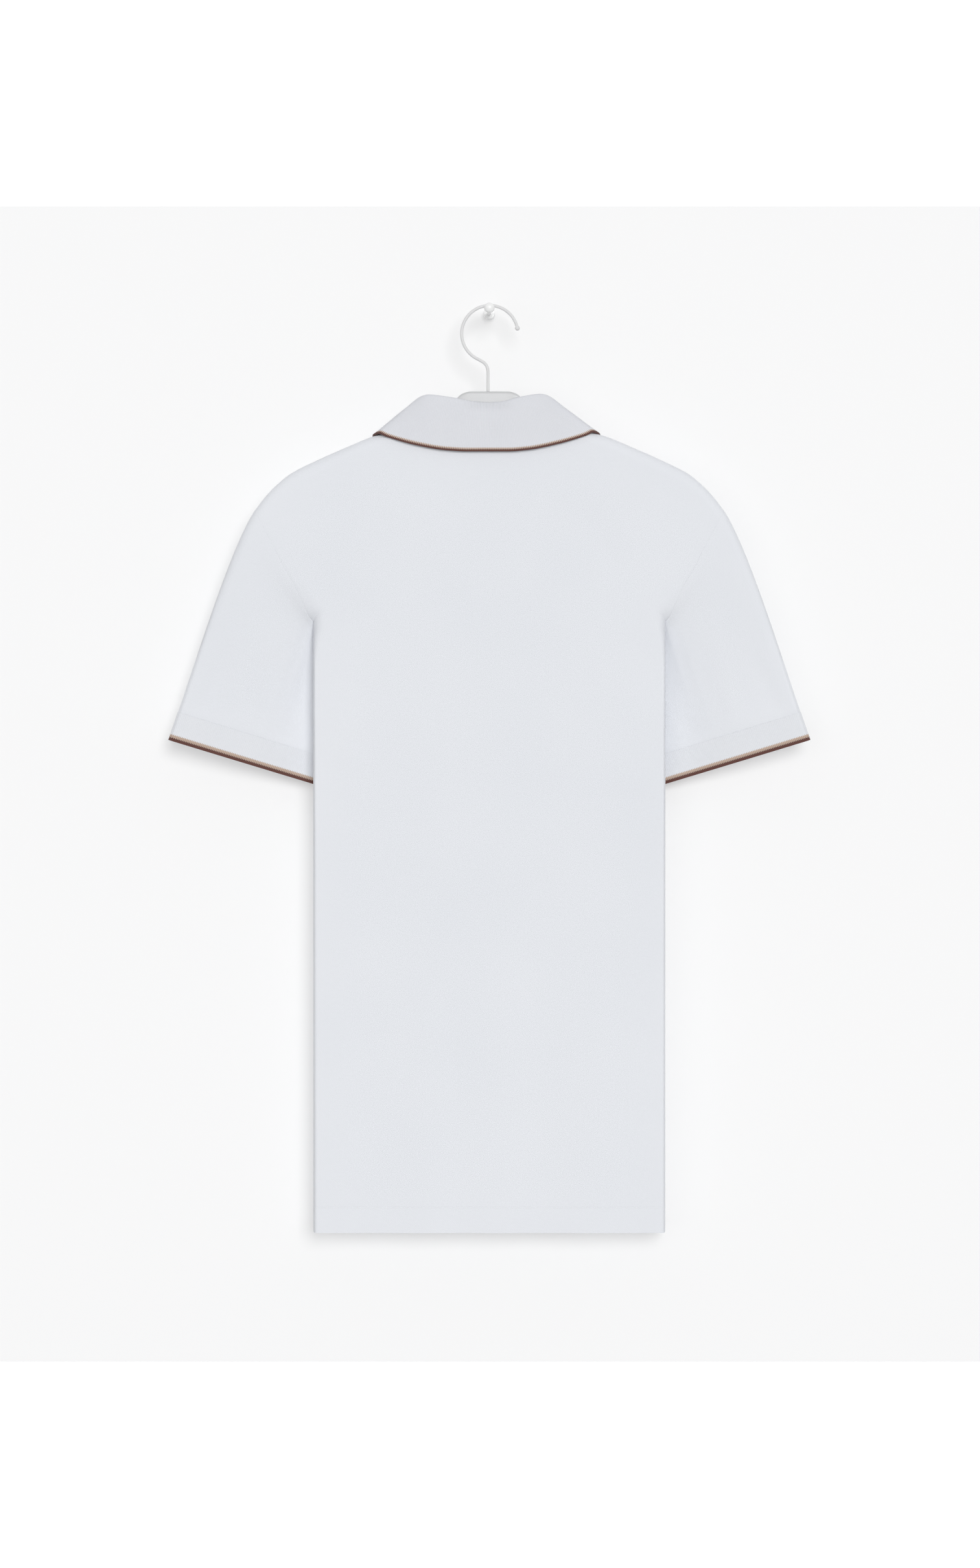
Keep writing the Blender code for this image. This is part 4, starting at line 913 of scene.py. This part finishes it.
def make_strip(name, x_from, x_to, top, bottom, y, finish, replaced):
    """Sewn strip of jersey, even in thickness, with the distance to its own edges for the topstitching."""
    x = np.linspace(x_from, x_to, STRIP_STEPS[0] + 1)
    z = np.linspace(bottom, top, STRIP_STEPS[1] + 1)
    grid = np.stack(np.broadcast_arrays(x[None, :], y, z[:, None]), axis=-1).astype(float)
    normal = np.zeros_like(grid)
    normal[..., 1] = 1.0
    edge = np.minimum(np.minimum(x - x_from, x_to - x)[None, :], np.minimum(z - bottom, top - z)[:, None])
    made = shell(name, grid, normal, PLACKET_WALL / 2, PLACKET_WALL / 2,
                 uv_of(x[None, :], np.broadcast_to(z[:, None] - HEM_Z, edge.shape)), finish,
                 replaced)
    store(made, "from_edge", edge * MM)
    cloth_sheet(grid, ["front_jersey"])


# ---------------------------------------------------------------- finishes, sizes in mm
KNIT_ACROSS = 1.6  # pitch of the jersey's knit
KNIT_UP = 1.5
KNIT_HEIGHT = 0.22
KNIT_PAINTED_SHADE_SHARE = 0.06  # shares of the painted shades below in the colour: in the knit's hollows and in the dents of stitches and seams
DENT_PAINTED_SHADE_SHARE = 0.03
THREAD_PALER = 0.3
DENT_HEIGHT = 0.4
FUZZ_HEIGHT = 0.25
RIB_FUZZ_HEIGHT = 0.2
RIB_STITCH = 1.1  # pitch of the stitches along a wale
WALE_POWER = 0.6  # makes the wales broad and the grooves between them narrow
WALE_HEIGHT = 0.85
RIB_STITCH_HEIGHT = 0.08
STITCH = 2.9  # pitch of the sewing
STITCH_GAP = (0.36, 0.46)  # where a stitch ends, as a share of the pitch from its middle
THREAD_EDGE = (0.22, 0.48)  # the thread ends between these distances from the middle of the row
DENT_EDGE = (0.4, 1.6)  # and the dent round it between these
THREAD_HEIGHT = 0.8  # the dent is 1 deep
STRIP_STITCH = 2.2  # the strips' sewing, from their edge
TOOTH = 1.7  # a stripe's border is this much nearer the free edge for each mm from a groove
STRIPE_EDGE = (0.15, 0.4)  # softness of that border
CENTRE_BACK = (10.0, 34.0)  # the collar opens fully, and its grooves' painted shade is deepest, up to the first place along it, not past the second
OPEN_GROOVE_PAINTED_SHADE = 0.45  # painted shade: how much darker the grooves are where it opens
SHUT_GROOVE_PAINTED_SHADE = 0.035  # and the grooves' painted shade elsewhere
UNEVEN_GLOSS = 0.18  # range of a hard surface's roughness
CLOTH_ROUGHNESS = 0.92
CLOTH_SHEEN = 0.08
CLOTH_RELIEF = 0.0004  # height of 1 on cloth, m

# Whites are pairs that soft noise mixes.
JERSEY_WHITES = ((0.756, 0.775, 0.812, 1.0), (0.800, 0.814, 0.846, 1.0))
CUFF_WHITES = ((0.750, 0.767, 0.802, 1.0), (0.790, 0.803, 0.834, 1.0))
# The collar's whites are the cuff's made a little darker: painted shade, for the collar turning away from
# the light.
COLLAR_WHITES_PAINTED_SHADE = ((0.702, 0.715, 0.755, 1.0), (0.750, 0.758, 0.792, 1.0))
PLASTIC_WHITES = ((0.54, 0.545, 0.55, 1.0), (0.62, 0.625, 0.63, 1.0))
ENAMEL_WHITES = ((0.70, 0.70, 0.70, 1.0), (0.75, 0.75, 0.75, 1.0))
PAINT_WHITES = ((0.88, 0.885, 0.88, 1.0), (0.95, 0.95, 0.94, 1.0))
RESIN_WHITES = ((0.74, 0.75, 0.76, 1.0), (0.82, 0.82, 0.81, 1.0))
# Painted shade in the knit's hollows.
KNIT_HOLLOW_PAINTED_SHADE = (0.60, 0.62, 0.66, 1.0)
# Painted shade in the dents of stitches and seams.
DENT_PAINTED_SHADE = (0.45, 0.47, 0.50, 1.0)
THREAD_WHITE = (0.82, 0.84, 0.86, 1.0)
# Painted shade in the rib's grooves.
RIB_GROOVE_PAINTED_SHADE = (0.30, 0.30, 0.32, 1.0)
TAN = (0.50, 0.375, 0.295, 1.0)
BROWN = (0.108, 0.041, 0.031, 1.0)


class Value:
    """Number that comes out of a node; +, - and * add the Math nodes for them."""

    def __init__(self, tree, socket):
        self.tree = tree
        self.socket = socket

    def __add__(self, other):
        return self.tree.work("ADD", self, other)

    def __sub__(self, other):
        return self.tree.work("SUBTRACT", self, other)

    def __rsub__(self, other):
        return self.tree.work("SUBTRACT", other, self)

    def __mul__(self, other):
        return self.tree.work("MULTIPLY", self, other)


class Tree:
    """Small helper that adds nodes and links them."""

    def __init__(self, nodes, links):
        self.nodes = nodes
        self.links = links

    def put(self, kind, **settings):
        """New node with its settings."""
        node = self.nodes.new(kind)
        for field, value in settings.items():
            setattr(node, field, value)
        return node

    def feed(self, socket, value):
        """Links a value to a socket, or sets it there when it is a plain number or colour."""
        source = getattr(value, "socket", value)
        if isinstance(source, bpy.types.NodeSocket):
            self.links.new(source, socket)
        else:
            socket.default_value = source

    def work(self, operation, *values):
        """Math node."""
        node = self.put("ShaderNodeMath", operation=operation)
        for socket, value in zip(node.inputs, values):
            self.feed(socket, value)
        return Value(self, node.outputs[0])

    def ramp(self, value, span, unit_size=MM):
        """0 below the span's first number, 1 above its second, smooth between."""
        node = self.put("ShaderNodeMapRange", interpolation_type="SMOOTHSTEP")
        self.feed(node.inputs["Value"], value)
        node.inputs["From Min"].default_value = span[0] * unit_size
        node.inputs["From Max"].default_value = span[1] * unit_size
        return Value(self, node.outputs["Result"])

    def mix(self, factor, first, second):
        """Colour between two others."""
        node = self.put("ShaderNodeMix", data_type="RGBA")
        for label, value in (("Factor", factor), ("A", first), ("B", second)):
            self.feed(node.inputs[label], value)
        return node.outputs["Result"]

    def noise(self, scale, detail):
        """Noise over the piece's own coordinates, from 0 to 1."""
        node = self.put("ShaderNodeTexNoise")
        node.inputs["Scale"].default_value = scale
        node.inputs["Detail"].default_value = detail
        self.feed(node.inputs["Vector"], self.put("ShaderNodeTexCoord").outputs["Object"])
        return Value(self, node.outputs["Fac"])

    def use(self, group, *values):
        """Values that a node group makes of others."""
        node = self.put("ShaderNodeGroup", node_tree=group)
        for socket, value in zip(node.inputs, values):
            self.feed(socket, value)
        return [Value(self, socket) for socket in node.outputs]

    def stored(self, name):
        """Number that the mesh stores at each point."""
        return Value(self, self.put("ShaderNodeAttribute", attribute_name=name).outputs["Fac"])

    def uv(self):
        """U and V of the cloth."""
        split = self.put("ShaderNodeSeparateXYZ")
        self.feed(split.inputs[0], self.put("ShaderNodeUVMap", uv_map="cloth").outputs["UV"])
        return Value(self, split.outputs["X"]), Value(self, split.outputs["Y"])


def shared(name, inputs, outputs, build):
    """Node group with float sockets; build takes the tree and the inputs and returns the outputs."""
    group = bpy.data.node_groups.new(name, "ShaderNodeTree")
    for way, labels in (("INPUT", inputs), ("OUTPUT", outputs)):
        for label in labels:
            group.interface.new_socket(name=label, in_out=way, socket_type="NodeSocketFloat")
    tree = Tree(group.nodes, group.links)
    start = tree.put("NodeGroupInput").outputs[:len(inputs)]
    end = tree.put("NodeGroupOutput")
    for socket, value in zip(end.inputs, build(tree, *[Value(tree, socket) for socket in start])):
        tree.feed(socket, value)
    return group


def build_tipping(tree, along, edge, brown_to, tan_to):
    """Two stripes beside the free edge; their borders go up and down with each wale of the rib."""
    place = edge + tree.work("PINGPONG", along, WALE * MM / 2) * TOOTH
    above_brown = tree.ramp(place - brown_to, STRIPE_EDGE)
    above_tan = tree.ramp(place - tan_to, STRIPE_EDGE)
    return 1.0 - above_brown, above_brown - above_tan


def build_wales(tree, along, edge):
    """Rib: round ridges along the wales, with small stitches one above the other on each."""
    wave = tree.work("ABSOLUTE", tree.work("SINE", along * (math.pi / (WALE * MM))))
    wave = tree.work("POWER", wave, WALE_POWER)
    knit = tree.work("SINE", edge * (2.0 * math.pi / (RIB_STITCH * MM)))
    return wave * WALE_HEIGHT + knit * RIB_STITCH_HEIGHT, 1.0 - wave


def build_pique(tree, along, up):
    """Fine knit: cells of a sine times a sine, so that every second row is moved over by half a cell."""
    first = tree.work("SINE", along * (2.0 * math.pi / (KNIT_ACROSS * MM)))
    second = tree.work("SINE", up * (2.0 * math.pi / (KNIT_UP * MM)))
    return [first * second * 0.5 + 0.5]


def build_stitch(tree, along, off):
    """Row of lock stitches: short raised dashes in a shallow dent. off is the distance from the row."""
    off = tree.work("ABSOLUTE", off)
    beat = tree.work("ABSOLUTE", tree.work("FRACT", tree.work("DIVIDE", along, STITCH * MM)) - 0.5)
    thread = (1.0 - tree.ramp(off, THREAD_EDGE)) * (1.0 - tree.ramp(beat, STITCH_GAP, 1.0))
    return thread, thread * THREAD_HEIGHT - (1.0 - tree.ramp(off, DENT_EDGE))


def new_finish(name, roughness, coat=0.0, sheen=0.0):
    """Material with its tree and its shader."""
    made = bpy.data.materials.new(name)
    made.use_nodes = True
    shader = made.node_tree.nodes["Principled BSDF"]
    shader.inputs["Roughness"].default_value = roughness
    shader.inputs["Coat Weight"].default_value = coat
    shader.inputs["Sheen Weight"].default_value = sheen
    return made, Tree(made.node_tree.nodes, made.node_tree.links), shader


def raise_from(tree, shader, height, strength, distance):
    """Lets a height bend the shader's normal; distance is the height of 1, in metres."""
    bump = tree.put("ShaderNodeBump")
    bump.inputs["Strength"].default_value = strength
    bump.inputs["Distance"].default_value = distance
    tree.feed(bump.inputs["Height"], height)
    tree.feed(shader.inputs["Normal"], bump.outputs["Normal"])


def jersey_finish(pique, stitch):
    """White jersey: faint clouds, fine knit, sewn rows at hem and strips, a shallow groove at each seam,
    with painted shade in the knit's hollows and in the dents.
    """
    made, tree, shader = new_finish("white jersey", CLOTH_ROUGHNESS, sheen=CLOTH_SHEEN)
    along, up = tree.uv()
    knit = tree.use(pique, along, up)[0]
    hem = tree.use(stitch, along, up - HEM_HEIGHT * MM)
    strip = tree.use(stitch, along + up, tree.stored("from_edge") - STRIP_STITCH * MM)
    thread = tree.work("MAXIMUM", hem[0], strip[0])
    dent = tree.work("MINIMUM", hem[1], strip[1]) - tree.stored("seam_groove")
    colour = tree.mix(tree.noise(scale=9.0, detail=3.0), *JERSEY_WHITES)
    # Painted shade in the knit's hollows.
    colour = tree.mix((1.0 - knit) * KNIT_PAINTED_SHADE_SHARE, colour, KNIT_HOLLOW_PAINTED_SHADE)
    # Painted shade in the dents of stitches and seams.
    colour = tree.mix(tree.work("MINIMUM", dent, 0.0) * -DENT_PAINTED_SHADE_SHARE, colour, DENT_PAINTED_SHADE)
    colour = tree.mix(thread * THREAD_PALER, colour, THREAD_WHITE)
    tree.feed(shader.inputs["Base Color"], colour)
    fuzz = tree.noise(scale=240.0, detail=2.0)
    height = knit * KNIT_HEIGHT + dent * DENT_HEIGHT + fuzz * FUZZ_HEIGHT
    raise_from(tree, shader, height, strength=0.5, distance=CLOTH_RELIEF)
    return made


def rib_finish(name, whites, stripes, wales, tipping):
    """Rib in two close whites, with a brown and a tan stripe along its free edge, and painted shade in its
    grooves.
    """
    made, tree, shader = new_finish(name, CLOTH_ROUGHNESS, sheen=CLOTH_SHEEN)
    along, edge = tree.uv()
    height, groove = tree.use(wales, along, edge)
    brown, tan = tree.use(tipping, along, edge, stripes[0] * MM, stripes[1] * MM)
    at_centre = 1.0 - tree.ramp(tree.work("ABSOLUTE", along), CENTRE_BACK)
    # Painted shade in the grooves between the wales, deeper where the rib opens over the fold near the
    # centre back.
    shade = tree.ramp(edge, (FOLD_FROM, FOLD_FULL)) * at_centre * OPEN_GROOVE_PAINTED_SHADE + SHUT_GROOVE_PAINTED_SHADE
    colour = tree.mix(tree.noise(scale=30.0, detail=3.0), *whites)
    colour = tree.mix(tan, colour, TAN)
    colour = tree.mix(brown, colour, BROWN)
    tree.feed(shader.inputs["Base Color"], tree.mix(groove * shade, colour, RIB_GROOVE_PAINTED_SHADE))
    height = height + tree.noise(scale=260.0, detail=2.0) * RIB_FUZZ_HEIGHT
    raise_from(tree, shader, height, strength=0.45, distance=CLOTH_RELIEF)
    return made


def hard_finish(name, whites, roughness, coat, grain, depth):
    """Moulded or painted surface: two close whites by soft noise, uneven gloss and a faint orange peel.

    The whites' noise is six times as coarse as the grain of the peel, and the gloss is twice as coarse.
    """
    made, tree, shader = new_finish(name, roughness, coat)
    tree.feed(shader.inputs["Base Color"], tree.mix(tree.noise(grain / 6.0, detail=2.0), *whites))
    gloss = tree.noise(grain / 2.0, detail=3.0) * UNEVEN_GLOSS + (roughness - UNEVEN_GLOSS / 2)
    tree.feed(shader.inputs["Roughness"], gloss)
    raise_from(tree, shader, tree.noise(grain, detail=3.0), strength=0.25, distance=depth)
    return made


# ---------------------------------------------------------------- room, light and camera, m
WALL_Y = 0.0006  # the wall's face, just behind the peg's foot
WALL_LOW = -0.9568  # lower and upper edge of the pale wall
WALL_HIGH = 0.0992
BOARD_HIGH = 1.6  # upper edge of the white board above it
FLOOR_EDGE = -0.9  # Y of the floor's front edge
ROOM = 3.0  # half its width
CAMERA = (0.0006, -3.043, -0.4288)
LENS = 76.5  # focal length, mm
FRAME = 36.0  # height of the camera's frame, mm


def backdrop(name, start, end, paint, grey, glow, lights_others=True):
    """Flat strip right across the room from one place (y, z) to another, in a grey that glows."""
    finish, _, shader = new_finish(paint, roughness=0.95)
    shader.inputs["Base Color"].default_value = (grey, grey, grey, 1.0)
    shader.inputs["Emission Color"].default_value = (grey, grey, grey, 1.0)
    shader.inputs["Emission Strength"].default_value = glow
    shader.inputs["Specular IOR Level"].default_value = 0.0
    mesh = bpy.data.meshes.new(name)
    mesh.from_pydata([(-ROOM, *start), (ROOM, *start), (ROOM, *end), (-ROOM, *end)], [], [(0, 1, 2, 3)])
    mesh.materials.append(finish)
    made = bpy.data.objects.new(name, mesh)
    bpy.context.scene.collection.objects.link(made)
    made.visible_diffuse = lights_others


def make_room():
    """Pale wall behind the peg, white above it, and a white floor in front of it."""
    backdrop("wall", (WALL_Y, WALL_LOW), (WALL_Y, WALL_HIGH), "wall paint",
             grey=0.62, glow=0.52)
    backdrop("wall_above", (WALL_Y, WALL_HIGH), (WALL_Y, BOARD_HIGH), "white board",
             grey=1.0, glow=0.6, lights_others=False)
    backdrop("floor", (FLOOR_EDGE, WALL_LOW), (WALL_Y, WALL_LOW), "white floor",
             grey=0.90, glow=0.9, lights_others=False)


def sun_light(name, way, spread, strength):
    """Even light from far away that travels along way; spread is the angle of its soft edge in degrees."""
    lamp = bpy.data.lights.new(name, "SUN")
    lamp.angle = math.radians(spread)
    lamp.energy = strength
    made = bpy.data.objects.new(name, lamp)
    flat = math.hypot(way[0], way[1])
    made.rotation_euler = (math.atan2(flat, -way[2]), 0.0, math.atan2(-way[0], way[1]))
    bpy.context.scene.collection.objects.link(made)


def make_light():
    """Pale light from all round, a key from the upper right and a weak fill from the left."""
    world = bpy.data.worlds.new("studio")
    world.use_nodes = True
    background = world.node_tree.nodes["Background"]
    background.inputs["Color"].default_value = (0.985, 0.99, 1.0, 1.0)
    background.inputs["Strength"].default_value = 0.40
    bpy.context.scene.world = world
    sun_light("key", way=(-0.19, 1.0, -0.24), spread=28.0, strength=1.68)
    sun_light("fill", way=(0.50, 1.0, -0.05), spread=40.0, strength=0.32)


def make_camera():
    """Level camera that looks straight at the wall."""
    lens = bpy.data.cameras.new("camera")
    lens.sensor_fit = "VERTICAL"
    lens.sensor_height = FRAME
    lens.lens = LENS
    made = bpy.data.objects.new("camera", lens)
    made.location = CAMERA
    made.rotation_euler = (math.pi / 2, 0.0, 0.0)
    bpy.context.scene.collection.objects.link(made)
    bpy.context.scene.camera = made


# ---------------------------------------------------------------- what is made
pique_knit = shared("pique knit", ["Along", "Up"], ["Height"], build_pique)
stitch_row = shared("stitch row", ["Along", "Off"], ["Thread", "Height"], build_stitch)
rib_wales = shared("rib wales", ["Along", "Edge"], ["Height", "Groove"], build_wales)
tipping_stripes = shared("tipping", ["Along", "Edge", "Brown to", "Tan to"], ["Brown", "Tan"], build_tipping)
jersey = jersey_finish(pique_knit, stitch_row)
cuff_rib = rib_finish("cuff rib", CUFF_WHITES, CUFF_STRIPES, rib_wales, tipping_stripes)
# The collar's rib is a darker copy of the cuff's rib: painted shade.
collar_rib_painted_shade = rib_finish("collar rib with painted shade", COLLAR_WHITES_PAINTED_SHADE, COLLAR_STRIPES, rib_wales, tipping_stripes)
plastic = hard_finish("moulded plastic", PLASTIC_WHITES, roughness=0.42, coat=0.1, grain=500.0, depth=1e-4)
enamel = hard_finish("white enamel", ENAMEL_WHITES, roughness=0.62, coat=0.0, grain=700.0, depth=5e-5)
paint = hard_finish("peg paint", PAINT_WHITES, roughness=0.36, coat=0.3, grain=600.0, depth=6e-5)
pearl = hard_finish("button resin", RESIN_WHITES, roughness=0.28, coat=0.3, grain=900.0, depth=5e-5)
make_shirt(jersey, cuff_rib)
make_collar(collar_rib_painted_shade)
front_y = HANGER_Y + HALF_DEPTH  # middle of the front's cloth at the placket
strip_y = CLOTH / 2 + SEWN_GAP + PLACKET_WALL / 2  # from there to the middle of a strip
make_strip("placket_top_jersey", -PLACKET_WIDTH / 2, PLACKET_WIDTH / 2, PLACKET_TOP, PLACKET_BOTTOM,
           front_y + strip_y, jersey, ["placket_top"])
make_strip("placket_under_jersey", UNDER_FROM, UNDER_TO, UNDER_TOP, UNDER_BOTTOM,
           front_y - strip_y, jersey, ["placket_under"])
for number, z in enumerate(BUTTON_Z, start=1):
    make_button(number, z, front_y + strip_y + PLACKET_WALL / 2 + SEWN_GAP, pearl)
make_hanger(plastic)
make_hook(enamel)
make_peg(paint)
make_room()
make_light()
make_camera()
bpy.context.scene.view_settings.view_transform = "Standard"
